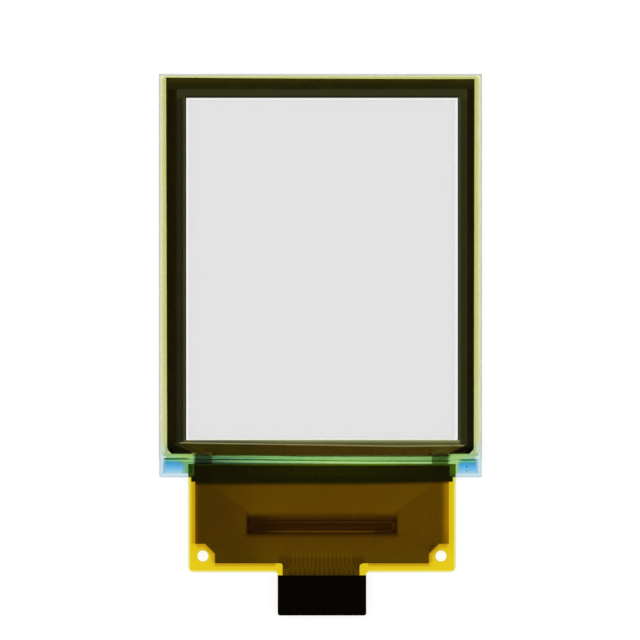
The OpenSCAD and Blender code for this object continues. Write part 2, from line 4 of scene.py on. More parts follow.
import bpy
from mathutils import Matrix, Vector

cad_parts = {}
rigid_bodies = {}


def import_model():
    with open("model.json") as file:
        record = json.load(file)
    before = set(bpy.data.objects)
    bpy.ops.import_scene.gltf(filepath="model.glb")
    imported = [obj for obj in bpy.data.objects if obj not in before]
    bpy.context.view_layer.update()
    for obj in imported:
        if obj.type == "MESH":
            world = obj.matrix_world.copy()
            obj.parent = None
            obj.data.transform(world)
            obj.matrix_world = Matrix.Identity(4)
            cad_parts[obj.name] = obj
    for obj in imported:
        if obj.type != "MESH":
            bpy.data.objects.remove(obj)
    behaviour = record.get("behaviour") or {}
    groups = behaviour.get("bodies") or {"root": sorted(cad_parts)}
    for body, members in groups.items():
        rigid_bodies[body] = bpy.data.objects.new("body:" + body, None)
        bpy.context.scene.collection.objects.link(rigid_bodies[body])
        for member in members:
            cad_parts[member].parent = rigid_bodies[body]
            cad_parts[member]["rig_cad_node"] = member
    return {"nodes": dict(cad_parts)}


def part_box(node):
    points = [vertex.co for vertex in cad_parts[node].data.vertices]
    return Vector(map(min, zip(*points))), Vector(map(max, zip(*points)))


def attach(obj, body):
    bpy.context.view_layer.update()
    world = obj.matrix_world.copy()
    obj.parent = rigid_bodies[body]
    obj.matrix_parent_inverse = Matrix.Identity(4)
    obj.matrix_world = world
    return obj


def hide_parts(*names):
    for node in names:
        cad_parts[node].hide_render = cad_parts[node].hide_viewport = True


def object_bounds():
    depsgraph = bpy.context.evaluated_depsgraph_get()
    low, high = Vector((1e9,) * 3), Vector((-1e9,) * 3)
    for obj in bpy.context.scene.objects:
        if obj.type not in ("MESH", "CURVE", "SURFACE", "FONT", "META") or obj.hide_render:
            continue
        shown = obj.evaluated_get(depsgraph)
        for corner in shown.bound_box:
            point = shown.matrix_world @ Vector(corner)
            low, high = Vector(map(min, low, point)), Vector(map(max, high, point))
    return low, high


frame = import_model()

cad_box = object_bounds()
MM = 0.001


def mm(*sizes):
    """Sizes given in millimetres, in metres."""
    return tuple(size * MM for size in sizes)


# Places of the module's layers, in metres, from the frame
substrate_low, substrate_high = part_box("substrate_glass")
cover_low, cover_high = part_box("cover_glass")
seal_low, seal_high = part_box("seal_ring")
rows_low, rows_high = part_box("cathode_rows")
organic_low, organic_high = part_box("emissive_film")
anode_low, anode_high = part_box("anode_columns")
border_low, border_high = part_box("border_film")
column_leads_low, column_leads_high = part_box("column_leads")
row_leads_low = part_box("row_leads_right")[0]
bond_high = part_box("acf_strip")[1]
film_low, film_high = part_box("base_film")
resist_low, resist_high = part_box("solder_resist")
underfill_low, underfill_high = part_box("underfill")
bumps_low, bumps_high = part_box("gold_bumps")
stiffener_low, stiffener_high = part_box("stiffener")
resin_low, resin_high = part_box("ledge_resin")

# Margins between the boxes of the layers and the places that the finishes use
WINDOW_SIDE_MARGIN = 0.13 * MM
WINDOW_HEAD_MARGIN = 0.14 * MM
SHOULDER_RISE = 0.31 * MM
ROW_PAD_INSET = 0.12 * MM
BORDER_FOOT_RISE = 0.6 * MM
NECK_INSET = 0.88 * MM
COAT_FOOT_RISE = 1.0 * MM
HOLE_INSET = 1.5 * MM
HOLE_RISE = 1.65 * MM

# The circuit pattern sits a little to the right of the middle of the glass
pattern_x = (film_low.x + film_high.x) / 2
window_half = (rows_high.x - rows_low.x) / 2 + WINDOW_SIDE_MARGIN
window_head = rows_high.y + WINDOW_HEAD_MARGIN
window_foot = anode_low.y
film_half = film_high.x - pattern_x
film_shoulder = stiffener_high.y + SHOULDER_RISE
tail_half = (stiffener_high.x - stiffener_low.x) / 2
bond_half = bond_high.x - pattern_x
row_pads_inner = row_leads_low.x - pattern_x
row_pads_outer = bond_half - ROW_PAD_INSET
border_foot = cover_low.y + BORDER_FOOT_RISE
chip_half = underfill_high.x - pattern_x
chip_y = (bumps_low.y + bumps_high.y) / 2
coat_half = resist_high.x - pattern_x
coat_foot = film_shoulder + COAT_FOOT_RISE
neck_half = tail_half - NECK_INSET
hole_off = film_half - HOLE_INSET
hole_y = film_shoulder + HOLE_RISE

# Outline of the seal
SEAL_WIDTH = 1.35 * MM
SEAL_CORNER_R = 0.5 * MM
seal_inner_x = seal_high.x - SEAL_WIDTH
seal_inner_head = seal_high.y - SEAL_WIDTH
seal_inner_foot = seal_low.y + SEAL_WIDTH

# Rows of electrodes and the bare line between two of them
ROW_COUNT = 164
ROW_GAP = 0.02 * MM
row_pitch = (rows_high.y - rows_low.y + ROW_GAP) / ROW_COUNT

# How far a see-through piece is set back from what it touches
HAIR = 2e-6

WHITE = (1, 1, 1, 1)


def grey(level):
    return (level, level, level, 1)


# In what follows, a run is where a soft change starts and ends, a reach is the same for an even change, and a
# span is where a stripe starts, where it ends and how soft its edges are. Where a place is given as at, they
# are counted from it


class NodeTree:
    """Nodes under construction: each method adds to them and gives back what comes out."""

    def __init__(self, owner):
        owner.use_nodes = True
        self.tree = owner.node_tree
        self.tree.nodes.clear()

    def node(self, kind, feeds, **settings):
        made = self.tree.nodes.new(kind)
        for setting, value in settings.items():
            setattr(made, setting, value)
        for socket, value in feeds.items():
            if isinstance(value, bpy.types.NodeSocket):
                self.tree.links.new(value, made.inputs[socket])
            else:
                made.inputs[socket].default_value = value
        return made

    def ramp(self, value, stops):
        """Colours along a value from 0 to 1."""
        made = self.node("ShaderNodeValToRGB", {0: value})
        band = made.color_ramp
        while len(band.elements) < len(stops):
            band.elements.new(0.5)
        for element, (at, colour) in zip(band.elements, stops):
            element.position = at
            element.color = colour
        return made.outputs[0]


class Finish(NodeTree):
    """One finish, worked out from the places on a piece."""

    FLAT_FROM = 0.9
    GLANCE_POWER = 5.0
    NOISE_MIDDLE = 0.5

    def __init__(self, name):
        self.material = bpy.data.materials.new(name)
        super().__init__(self.material)
        self.place = self.node("ShaderNodeTexCoord", {}).outputs["Object"]
        self.x, self.y, self.z = self.node("ShaderNodeSeparateXYZ", {0: self.place}).outputs

    def done(self, shader):
        self.node("ShaderNodeOutputMaterial", {"Surface": shader})
        return self.material

    # Numbers

    def reckon(self, operation, first, second=0.0, third=0.0):
        feeds = {0: first, 1: second, 2: third}
        return self.node("ShaderNodeMath", feeds, operation=operation).outputs[0]

    def plus(self, first, second):
        return self.reckon("ADD", first, second)

    def minus(self, first, second):
        return self.reckon("SUBTRACT", first, second)

    def sloped(self, value, slope, start):
        """A value times a slope, counted on from a start."""
        return self.reckon("MULTIPLY_ADD", value, slope, start)

    def least(self, first, second):
        return self.reckon("MINIMUM", first, second)

    def either(self, first, *others):
        """The greatest of several values."""
        for other in others:
            first = self.reckon("MAXIMUM", first, other)
        return first

    def both(self, first, *others):
        """Several values multiplied, which gives 1 only where every share is 1."""
        for other in others:
            first = self.reckon("MULTIPLY", first, other)
        return first

    def less(self, value):
        return self.minus(1.0, value)

    def size(self, value):
        return self.reckon("ABSOLUTE", value)

    def length(self, across, along):
        """Straight distance that two legs at a right angle span."""
        return self.reckon("SQRT", self.plus(self.both(across, across), self.both(along, along)))

    def past(self, value, limit):
        """1 where a value is over its limit."""
        return self.reckon("GREATER_THAN", value, limit)

    def short_of(self, value, limit):
        """1 where a value is under its limit."""
        return self.reckon("LESS_THAN", value, limit)

    def fade(self, value, start, end, at=0.0):
        """0 at start and 1 at end, both counted from a place, with a soft run between them."""
        feeds = {"Value": value, "From Min": at + start, "From Max": at + end}
        return self.node("ShaderNodeMapRange", feeds, interpolation_type="SMOOTHSTEP").outputs[0]

    def span(self, value, low, high, soft, at=0.0):
        """1 between two places and 0 outside them."""
        rise = self.fade(value, low - soft, low + soft, at)
        fall = self.fade(value, high + soft, high - soft, at)
        return self.both(rise, fall)

    def along(self, value, start, end):
        """0 at start and 1 at end, in an even run."""
        feeds = {"Value": value, "From Min": start, "From Max": end}
        return self.node("ShaderNodeMapRange", feeds).outputs[0]

    # Places

    def off_middle(self, middle=0):
        """Sideways distance from an upright line, which is the middle of the glass if no other is given."""
        return self.size(self.minus(self.x, middle))

    def aside(self):
        """Sideways distance from the middle of the circuit pattern."""
        return self.off_middle(pattern_x)

    def on_right(self):
        return self.past(self.x, 0.0)

    def on_left(self):
        return self.short_of(self.x, 0.0)

    def on_upper(self, low, high):
        """1 on the upper face of a layer."""
        return self.past(self.z, (low.z + high.z) / 2)

    def level(self):
        """1 on a flat face and 0 on an upright one."""
        normal = self.node("ShaderNodeNewGeometry", {}).outputs["True Normal"]
        return self.size(self.node("ShaderNodeSeparateXYZ", {0: normal}).outputs[2])

    def on_edge(self):
        """1 on chamfers and upright faces and 0 on the flat of a sheet."""
        return self.short_of(self.level(), self.FLAT_FROM)

    # Patterns

    def mottle(self, size, detail=2.0, stretch=(1, 1, 1)):
        """Soft cloudy noise whose lumps are about the given size."""
        scaled = self.node("ShaderNodeMapping", {"Vector": self.place, "Scale": stretch}).outputs[0]
        feeds = {"Vector": scaled, "Scale": 1 / size, "Detail": detail}
        return self.node("ShaderNodeTexNoise", feeds).outputs[0]

    def sway(self, size, detail=2.0):
        """Cloudy noise to both sides of 0."""
        return self.minus(self.mottle(size, detail), self.NOISE_MIDDLE)

    def grains(self, size):
        """Distance from the middle of the nearest grain, in grain sizes."""
        feeds = {"Vector": self.place, "Scale": 1 / size}
        return self.node("ShaderNodeTexVoronoi", feeds).outputs["Distance"]

    def relief(self, height, depth):
        return self.node("ShaderNodeBump", {"Height": height, "Distance": depth, "Strength": 1.0}).outputs[0]

    # Colours

    def blend(self, share, first, second, way="MIX"):
        feeds = {0: share, 6: first, 7: second}
        return self.node("ShaderNodeMix", feeds, data_type="RGBA", blend_type=way).outputs[2]

    def times(self, first, second):
        return self.blend(1.0, first, second, "MULTIPLY")

    def shaded(self, colour, share, first, second):
        """A colour times a blend of two shades."""
        return self.times(colour, self.blend(share, first, second))

    # Shaders

    def clear(self, tint):
        return self.node("ShaderNodeBsdfTransparent", {"Color": tint}).outputs[0]

    def gloss(self, roughness):
        return self.node("ShaderNodeBsdfGlossy", {"Color": WHITE, "Roughness": roughness}).outputs[0]

    def matte(self, colour):
        return self.node("ShaderNodeBsdfDiffuse", {"Color": colour}).outputs[0]

    def mirror_share(self, index):
        """Share of light that a face throws back, the same from both its sides and most at a glance."""
        slant = self.node("ShaderNodeLayerWeight", {"Blend": 0.5}).outputs["Facing"]
        straight = ((index - 1) / (index + 1)) ** 2
        return self.sloped(self.reckon("POWER", slant, self.GLANCE_POWER), 1 - straight, straight)

    def over(self, share, under, top):
        return self.node("ShaderNodeMixShader", {0: share, 1: under, 2: top}).outputs[0]

    def solid(self, colour, roughness, metallic=0.0, specular=0.5, normal=None):
        feeds = {"Base Color": colour, "Roughness": roughness, "Metallic": metallic}
        feeds["Specular IOR Level"] = specular
        if normal is not None:
            feeds["Normal"] = normal
        return self.node("ShaderNodeBsdfPrincipled", feeds).outputs[0]

    def clear_layer(self, low, high, tint):
        """See-through layer that takes its tint on its upper face alone."""
        return self.done(self.clear(self.blend(self.on_upper(low, high), WHITE, tint)))


# Green along the foot of the cover, on the seal and on the strip of glass below it

SEAL_CORNER_TONES = (
    (0.0, (0.65, 0.77, 0.66, 1)), (0.15, (0.34, 0.58, 0.44, 1)),
    (0.55, (0.39, 0.67, 0.28, 1)), (1.0, (0.36, 0.61, 0.19, 1)))
SEAL_FOOT_TONES = (
    (0.0, (0.10, 0.26, 0.12, 1)), (0.3, (0.235, 0.54, 0.195, 1)),
    (0.6, (0.32, 0.60, 0.19, 1)), (1.0, (0.25, 0.50, 0.15, 1)))
ROW_PAD_SHADE_LEFT = (0.88, 0.85, 0.7, 1)
ROW_PAD_SHADE_RIGHT = (0.69, 0.87, 0.4, 1)
CORNER_TONE_DEPTH = 3.0 * MM
ROW_PAD_SOFT = 0.14 * MM
ROW_PAD_END_RUN = mm(0.3, 0)
SIDE_FOOT_RUN = mm(2.3, 0.9)


def near_foot(finish):
    """1 near the foot of the cover, where the edge of the glass and the seal beside it are paler."""
    return finish.fade(finish.y, *SIDE_FOOT_RUN, at=cover_low.y)


def between_pads(finish):
    """1 from the outer row pads inwards and 0 in the corners of the glass."""
    return finish.fade(finish.aside(), *ROW_PAD_END_RUN, at=row_pads_outer)


def row_pad_shade(finish, tint):
    """Darkens a see-through coat where it lies on the close pads of the rows."""
    on_pads = finish.span(finish.aside(), row_pads_inner, row_pads_outer, ROW_PAD_SOFT)
    shade = finish.blend(finish.on_right(), ROW_PAD_SHADE_LEFT, ROW_PAD_SHADE_RIGHT)
    return finish.blend(on_pads, tint, finish.times(tint, shade))


def across_columns(finish, stops):
    """Colours from the left row pads to the right ones."""
    return finish.ramp(finish.along(finish.x, -row_pads_inner, row_pads_inner), stops)


def foot_green(finish):
    """Green along the foot of the cover, paler and bluer towards its corners."""
    side = finish.minus(seal_high.x, finish.off_middle())
    corner = finish.ramp(finish.along(side, 0, CORNER_TONE_DEPTH), SEAL_CORNER_TONES)
    foot = across_columns(finish, SEAL_FOOT_TONES)
    return row_pad_shade(finish, finish.blend(between_pads(finish), corner, foot))


# Glass

GLASS_INDEX = 1.3
GLASS_POLISH = 0.02
GROUND_SHARE = 0.28
GROUND_COLOUR = (0.80, 0.83, 0.78, 1)
GROUND_DEEP = (0.62, 0.68, 0.62, 1)
FROST_SIZE = 0.03 * MM
GLASS_HAZE = (0.985, 0.995, 0.99, 1)
GLASS_HAZE_SIZE = 6 * MM
LEDGE_RIM_TINT = (0.63, 0.79, 0.86, 1)


def glass_shader(finish, tint, outer, ground):
    """Clear sheet with a ground edge, that mirrors only on its outer faces."""
    edge = finish.both(finish.on_edge(), ground)
    ground_colour = finish.blend(finish.mottle(FROST_SIZE), GROUND_COLOUR, GROUND_DEEP)
    body = finish.over(finish.both(edge, GROUND_SHARE), finish.clear(tint), finish.matte(ground_colour))
    share = finish.both(finish.mirror_share(GLASS_INDEX), outer)
    return finish.over(share, body, finish.gloss(GLASS_POLISH))


def substrate_finish():
    finish = Finish("substrate_glass_clear")
    under = finish.short_of(finish.z, (substrate_low.z + substrate_high.z) / 2)
    ledge = finish.short_of(finish.y, cover_low.y)
    tint = finish.blend(finish.both(under, finish.mottle(GLASS_HAZE_SIZE)), WHITE, GLASS_HAZE)
    beside_resin = finish.past(finish.off_middle(), resin_high.x)
    below_resin = finish.short_of(finish.y, resin_low.y)
    rim = finish.both(ledge, finish.less(under), finish.either(beside_resin, below_resin))
    tint = finish.blend(rim, tint, LEDGE_RIM_TINT)
    return finish.done(glass_shader(finish, tint, finish.either(under, ledge), 1.0))


EDGE_TINT = (0.76, 0.775, 0.62, 1)
EDGE_FOOT_TINT = (0.95, 0.92, 0.95, 1)
EDGE_RUN = mm(0.28, 0.18)
HEAD_TINT = (0.60, 0.60, 0.33, 1)
HEAD_SPAN = mm(0.13, 0.21, 0.03)
FOOT_LINE_TINT = (0.05, 0.21, 0.05, 1)
FOOT_LINE_RUN = mm(0.14, 0.07)
FOOT_LINE_INNER_RUN = mm(-0.3, 0.3)
FOOT_LINE_OUTER_RUN = mm(0.4, 0.6)
HEAD_NOTCH_TINT = (0.88, 0.88, 0.66, 1)
NOTCH_TINT = (0.68, 0.82, 0.76, 1)
NOTCH_RUN = mm(3, 0.6)
ARC_SPAN = (2 * HAIR, SEAL_CORNER_R, HAIR)
COVER_GROUND_FROM = 0.2 * MM


def cover_rim(finish):
    """Tint of the cover's outer face: its sides, its head and the dark line at the left of its foot."""
    side = finish.minus(cover_high.x, finish.off_middle())
    edge = finish.blend(near_foot(finish), EDGE_TINT, EDGE_FOOT_TINT)
    tint = finish.blend(finish.fade(side, *EDGE_RUN), WHITE, edge)
    head = finish.minus(cover_high.y, finish.y)
    tint = finish.blend(finish.span(head, *HEAD_SPAN), tint, HEAD_TINT)
    beside_film = finish.fade(finish.aside(), *FOOT_LINE_INNER_RUN, at=film_half)
    corner = finish.both(beside_film, finish.fade(side, *FOOT_LINE_OUTER_RUN), finish.on_left())
    foot_line = finish.fade(finish.y, *FOOT_LINE_RUN, at=cover_low.y)
    return finish.blend(finish.both(foot_line, corner), tint, FOOT_LINE_TINT)


def cover_notches(finish, tint, inner):
    """Tints the small corners of the cover's inner face that the rounded seal leaves bare."""
    arc_x = seal_high.x - SEAL_CORNER_R
    across = finish.either(finish.minus(finish.off_middle(), arc_x), 0)
    below = finish.either(finish.minus(seal_low.y + SEAL_CORNER_R, finish.y), 0)
    above = finish.either(finish.minus(finish.y, seal_high.y - SEAL_CORNER_R), 0)
    past_arc = finish.past(finish.length(across, finish.either(below, above)), SEAL_CORNER_R)
    at_head = finish.both(finish.span(across, *ARC_SPAN), finish.span(above, *ARC_SPAN))
    tint = finish.blend(finish.both(past_arc, at_head, inner), tint, HEAD_NOTCH_TINT)
    at_foot = finish.fade(finish.y, *NOTCH_RUN, at=seal_low.y)
    notch = finish.both(past_arc, at_foot, finish.past(finish.off_middle(), arc_x), inner)
    return finish.blend(notch, tint, NOTCH_TINT)


def cover_finish():
    finish = Finish("cover_glass_clear")
    outer = finish.on_upper(cover_low, cover_high)
    inner = finish.less(outer)
    tint = finish.blend(outer, WHITE, cover_rim(finish))
    foot_strip = finish.both(inner, finish.short_of(finish.y, seal_low.y))
    tint = finish.blend(foot_strip, tint, foot_green(finish))
    tint = cover_notches(finish, tint, inner)
    ground = finish.past(finish.y, cover_low.y + COVER_GROUND_FROM)
    return finish.done(glass_shader(finish, tint, outer, ground))


# Print of the border that runs on past its film

PRINT_CORNER = (0.02, 0.022, 0.006, 1)
PRINT_CORNER_DROP = 0.13 * MM
PRINT_CORNER_FOOT_RUN = mm(-0.03, 0.03)
PRINT_CORNER_RISE = 0.4 * MM
PRINT_CORNER_RISE_RUN = mm(-0.7, -0.5)
PRINT_CORNER_HEAD_RUN = mm(0.04, 0)
PRINT_CORNER_CUT_RUN = mm(-0.44, -0.52)
PRINT_CORNER_SPAN = mm(-2.5, -0.03, 0.06)
PRINT_EDGE = (0.015, 0.0116, 0.001, 1)
PRINT_EDGE_RUN = mm(0.015, -0.015)
PRINT_PAST_LEFT = 0.105 * MM
PRINT_PAST_RIGHT = 0.07 * MM
PRINT_PAST_HEAD = 0.135 * MM
PRINT_PAST_LEAST = 0.012 * MM


def print_corner(finish):
    """1 where the border's dark corners run on below their film, down to a cut corner."""
    aside = finish.off_middle()
    foot = border_foot - PRINT_CORNER_DROP
    over_foot = finish.fade(finish.y, *PRINT_CORNER_FOOT_RUN, at=foot)
    rise = finish.both(finish.fade(aside, *PRINT_CORNER_RISE_RUN, at=border_high.x), PRINT_CORNER_RISE)
    past_head = finish.minus(finish.minus(finish.y, border_foot), rise)
    below_head = finish.fade(past_head, *PRINT_CORNER_HEAD_RUN)
    past_cut = finish.minus(aside, finish.minus(finish.y, foot))
    inside_cut = finish.fade(past_cut, *PRINT_CORNER_CUT_RUN, at=border_high.x)
    in_corner = finish.span(aside, *PRINT_CORNER_SPAN, at=border_high.x)
    return finish.both(over_foot, below_head, inside_cut, in_corner)


def print_edge(finish):
    """1 just outside the border's film, where its print runs on, most of all at the upper left."""
    up = finish.along(finish.y, border_foot, border_high.y)
    to_left = finish.along(finish.x, border_high.x, border_low.x)
    past_left = finish.minus(border_low.x, finish.x)
    past_right = finish.minus(finish.x, border_high.x)
    past_head = finish.minus(finish.y, border_high.y)
    past_film = finish.past(finish.either(past_left, past_right, past_head), 0)
    over_left = finish.sloped(up, -PRINT_PAST_LEFT, past_left)
    over_right = finish.sloped(up, -PRINT_PAST_RIGHT, past_right)
    head_run = finish.sloped(finish.both(to_left, to_left), PRINT_PAST_HEAD, PRINT_PAST_LEAST)
    over = finish.either(over_left, over_right, finish.minus(past_head, head_run))
    return finish.both(past_film, finish.fade(over, *PRINT_EDGE_RUN))


# Seal

SEAL_TONES = (
    (0.0, (0.80, 0.82, 0.56, 1)), (0.25, (0.75, 0.785, 0.43, 1)),
    (0.5, (0.67, 0.69, 0.285, 1)), (1.0, (0.62, 0.64, 0.205, 1)))
SEAL_TONE_DEPTH = 0.4 * MM
SEAL_HEAD_PACE = 4
SEAL_WANDER = 0.12 * MM
SEAL_WANDER_SIZE = 2.5 * MM
SEAL_LOW_PALE = (0.72, 0.74, 0.43, 1)
SEAL_LOW_SHARE = 0.45
SEAL_LOW_RUN = mm(12.6, 3.6)
SEAL_LOW_DEPTH_RUN = mm(0.7, 0.4)
SEAL_FOOT_PALE = (0.63, 0.74, 0.61, 1)
SEAL_FOOT_INNER = (0.43, 0.56, 0.28, 1)
SEAL_FOOT_SHARE = 0.85
SEAL_FOOT_SIDE_RUN = mm(0.78, 0.68)
SEAL_FOOT_DEPTH_RUN = mm(0.22, 0.52)


def seal_sides(finish):
    """Tint of the seal from its outer edge inwards, paler low down and at its foot."""
    side = finish.minus(seal_high.x, finish.off_middle())
    head = finish.both(finish.minus(seal_high.y, finish.y), SEAL_HEAD_PACE)
    wander = finish.both(finish.sway(SEAL_WANDER_SIZE), SEAL_WANDER)
    depth = finish.plus(finish.least(side, head), wander)
    tint = finish.ramp(finish.along(depth, 0, SEAL_TONE_DEPTH), SEAL_TONES)
    low = finish.fade(finish.y, *SEAL_LOW_RUN, at=cover_low.y)
    paler = finish.both(low, finish.fade(depth, *SEAL_LOW_DEPTH_RUN), SEAL_LOW_SHARE)
    tint = finish.blend(paler, tint, SEAL_LOW_PALE)
    at_foot = finish.both(near_foot(finish), finish.fade(side, *SEAL_FOOT_SIDE_RUN))
    pale = finish.blend(finish.fade(depth, *SEAL_FOOT_DEPTH_RUN), SEAL_FOOT_PALE, SEAL_FOOT_INNER)
    return finish.blend(finish.both(at_foot, SEAL_FOOT_SHARE), tint, pale)


SEAL_GREEN_WARM = (1.0, 0.96, 0.72, 1)
SEAL_GREEN_RUN = mm(0.03, -0.03)
SEAL_GREEN_CORNER_RUN = mm(0.5, 0.25)
SEAL_COLUMNS_RUN = mm(0.2, 0)
SEAL_SHADE = (0.05, 0.065, 0.007, 1)
SEAL_SHADE_RUN = mm(0.1, 0.02)
SEAL_SHADE_LEAN = 0.17 * MM
SEAL_SHADE_LEAN_RUN = mm(-8, 2)
ROW_PAD_BROWN = (0.085, 0.068, 0.007, 1)
ROW_PAD_BROWN_PAST = 0.25 * MM
ROW_PAD_BROWN_RISE = 0.4 * MM
ROW_PAD_BROWN_SOFT = 0.02 * MM


def seal_foot(finish, tint):
    """The seal below the border's film: green, shaded by the film, and brown over the pads of the rows."""
    aside = finish.aside()
    over_columns = finish.fade(aside, *SEAL_COLUMNS_RUN, at=row_pads_outer)
    below_border = finish.fade(finish.y, *SEAL_GREEN_RUN, at=border_low.y)
    at_corner = finish.fade(finish.y, *SEAL_GREEN_CORNER_RUN, at=seal_low.y)
    lower = finish.either(below_border, finish.both(at_corner, finish.less(over_columns)))
    tint = finish.blend(lower, tint, finish.times(foot_green(finish), SEAL_GREEN_WARM))
    lean = finish.both(finish.fade(finish.x, *SEAL_SHADE_LEAN_RUN), SEAL_SHADE_LEAN)
    drop = finish.minus(finish.minus(border_low.y, finish.y), lean)
    shade = finish.both(finish.fade(drop, *SEAL_SHADE_RUN), lower, over_columns)
    tint = finish.blend(shade, tint, SEAL_SHADE)
    brown_foot = border_low.y - ROW_PAD_BROWN_SOFT
    brown_head = seal_low.y + ROW_PAD_BROWN_RISE
    bare = finish.span(finish.y, brown_foot, brown_head, ROW_PAD_BROWN_SOFT)
    on_pads = finish.span(aside, row_pads_inner - ROW_PAD_BROWN_PAST, row_pads_outer, ROW_PAD_SOFT)
    return finish.blend(finish.both(bare, on_pads), tint, ROW_PAD_BROWN)


def seal_finish():
    finish = Finish("seal_epoxy_yellow")
    tint = seal_foot(finish, seal_sides(finish))
    tint = finish.blend(print_corner(finish), tint, PRINT_CORNER)
    tint = finish.blend(print_edge(finish), tint, PRINT_EDGE)
    return finish.clear_layer(border_high, seal_high, tint)


# Pixel field

PIXEL_TINT = (0.818, 0.816, 0.816, 1)
PIXEL_HAZE = (0.813, 0.812, 0.814, 1)
PIXEL_HAZE_SIZE = 9 * MM
GAP_TINT = (0.828, 0.826, 0.826, 1)
RIM_TINT = (0.99, 0.985, 0.93, 1)
RIM_FOOT_TINT = (0.85, 0.86, 0.75, 1)
RIM_RUN = mm(0.3, 0.18)
RIM_HEAD_PAST = 0.04 * MM
COLUMN_HAZE = (0.998, 0.999, 0.997, 1)
COLUMN_HAZE_SIZE = 4 * MM


def window_rim(finish):
    """Nearness to the sides and the head of the window, where the electrodes thin out."""
    to_side = finish.minus(window_half, finish.aside())
    to_head = finish.minus(window_head + RIM_HEAD_PAST, finish.y)
    return finish.fade(finish.least(to_side, to_head), *RIM_RUN)


def cathode_finish():
    finish = Finish("row_electrode_grey")
    tint = finish.blend(finish.mottle(PIXEL_HAZE_SIZE), PIXEL_TINT, PIXEL_HAZE)
    tint = finish.blend(window_rim(finish), tint, RIM_TINT)
    return finish.clear_layer(rows_low, rows_high, tint)


def organic_finish():
    """The organic film shows only in the bare lines between the rows, in nearly their tint."""
    finish = Finish("organic_film_clear")
    top = finish.on_upper(organic_low, organic_high)
    in_row = finish.reckon("FLOORED_MODULO", finish.minus(finish.y, rows_low.y), row_pitch)
    in_gap = finish.past(in_row, row_pitch - ROW_GAP)
    inside = finish.both(finish.past(finish.y, rows_low.y), finish.short_of(finish.y, rows_high.y))
    gap = finish.blend(window_rim(finish), GAP_TINT, RIM_TINT)
    return finish.done(finish.clear(finish.blend(finish.both(top, in_gap, inside), WHITE, gap)))


def anode_finish():
    finish = Finish("column_electrode_clear")
    top = finish.on_upper(anode_low, anode_high)
    tint = finish.blend(finish.mottle(COLUMN_HAZE_SIZE), WHITE, COLUMN_HAZE)
    bare = finish.both(top, finish.short_of(finish.y, rows_low.y))
    return finish.done(finish.clear(finish.blend(bare, tint, RIM_FOOT_TINT)))


# Border film round the window

BORDER_LEFT = (0.0203, 0.0194, 0.0060, 1)
BORDER_RIGHT = (0.0262, 0.0273, 0.0075, 1)
SIDE_RUN = mm(-1, 1)
BORDER_HEAD = (0.0365, 0.0350, 0.0103, 1)
BORDER_HEAD_RUN = mm(-0.2, 0.1)
BORDER_LINE = (0.058, 0.060, 0.021, 1)
BORDER_LINE_SHARE = 0.85
BORDER_LINE_SPAN = mm(0.1, 0.3, 0.04)
BORDER_LINE_HEAD_RUN = mm(0.05, -0.1)
BORDER_LIP = (0.0185, 0.0194, 0.0044, 1)
BORDER_LIP_RUN = mm(0.3, 0.15)
BORDER_LIP_SIDE_RUN = mm(0.1, 0)
BORDER_OUTER = (0.0112, 0.0083, 0.0005, 1)
BORDER_OUTER_SIDE_RUN = mm(0.93, 1.01)
BORDER_OUTER_HEAD_RUN = mm(-0.02, 0.06)
BORDER_OUTER_HEAD = (0.0380, 0.0260, 0.0018, 1)
BORDER_OUTER_NECK = (0.0175, 0.0165, 0.0022, 1)
BORDER_NECK_RISE = 0.45 * MM
BORDER_NECK_INSET = 0.05 * MM


def border_band(finish, past_window):
    """The band at the sides and head, with its pale side lines, its lip and its darker outer part."""
    band = finish.blend(finish.fade(finish.x, *SIDE_RUN), BORDER_LEFT, BORDER_RIGHT)
    above = finish.fade(finish.y, *BORDER_HEAD_RUN, at=window_head)
    band = finish.blend(above, band, BORDER_HEAD)
    beside = finish.fade(finish.y, *BORDER_LINE_HEAD_RUN, at=window_head)
    line = finish.both(finish.span(past_window, *BORDER_LINE_SPAN), beside, BORDER_LINE_SHARE)
    band = finish.blend(line, band, BORDER_LINE)
    lip = finish.both(above, finish.fade(finish.y, *BORDER_LIP_RUN, at=window_head))
    lip = finish.both(lip, finish.fade(past_window, *BORDER_LIP_SIDE_RUN))
    band = finish.blend(lip, band, BORDER_LIP)
    outer_side = finish.fade(past_window, *BORDER_OUTER_SIDE_RUN)
    outer_head = finish.fade(finish.y, *BORDER_OUTER_HEAD_RUN, at=seal_inner_head)
    to_head = finish.fade(finish.y, seal_inner_head + BORDER_NECK_RISE, border_high.y - BORDER_NECK_INSET)
    head = finish.blend(to_head, BORDER_OUTER_NECK, BORDER_OUTER_HEAD)
    outer = finish.blend(outer_head, BORDER_OUTER, head)
    return finish.blend(finish.either(outer_side, outer_head), band, outer)


BORDER_STRIP_LIGHT = (0.25, 0.265, 0.11, 1)
BORDER_STRIP = (0.09, 0.093, 0.02, 1)
BORDER_STRIP_TONE_RUN = mm(0.05, 0.35)
BORDER_STRIP_DIM = grey(0.42)
BORDER_STRIP_DIM_RUN = mm(-11, -1)
BORDER_STRIP_HEAD_RUN = mm(-0.03, 0.03)
BORDER_STRIP_SIDE_RUN = mm(0.35, 0.05)


def border_strip(finish, tint, past_window, drop):
    """The light strip just below the window, dimmer on the left."""
    strip = finish.blend(finish.fade(drop, *BORDER_STRIP_TONE_RUN), BORDER_STRIP_LIGHT, BORDER_STRIP)
    strip = finish.shaded(strip, finish.fade(finish.x, *BORDER_STRIP_DIM_RUN), BORDER_STRIP_DIM, WHITE)
    below_window = finish.fade(drop, *BORDER_STRIP_HEAD_RUN)
    in_strip = finish.both(below_window, finish.fade(past_window, *BORDER_STRIP_SIDE_RUN))
    return finish.blend(in_strip, tint, strip)


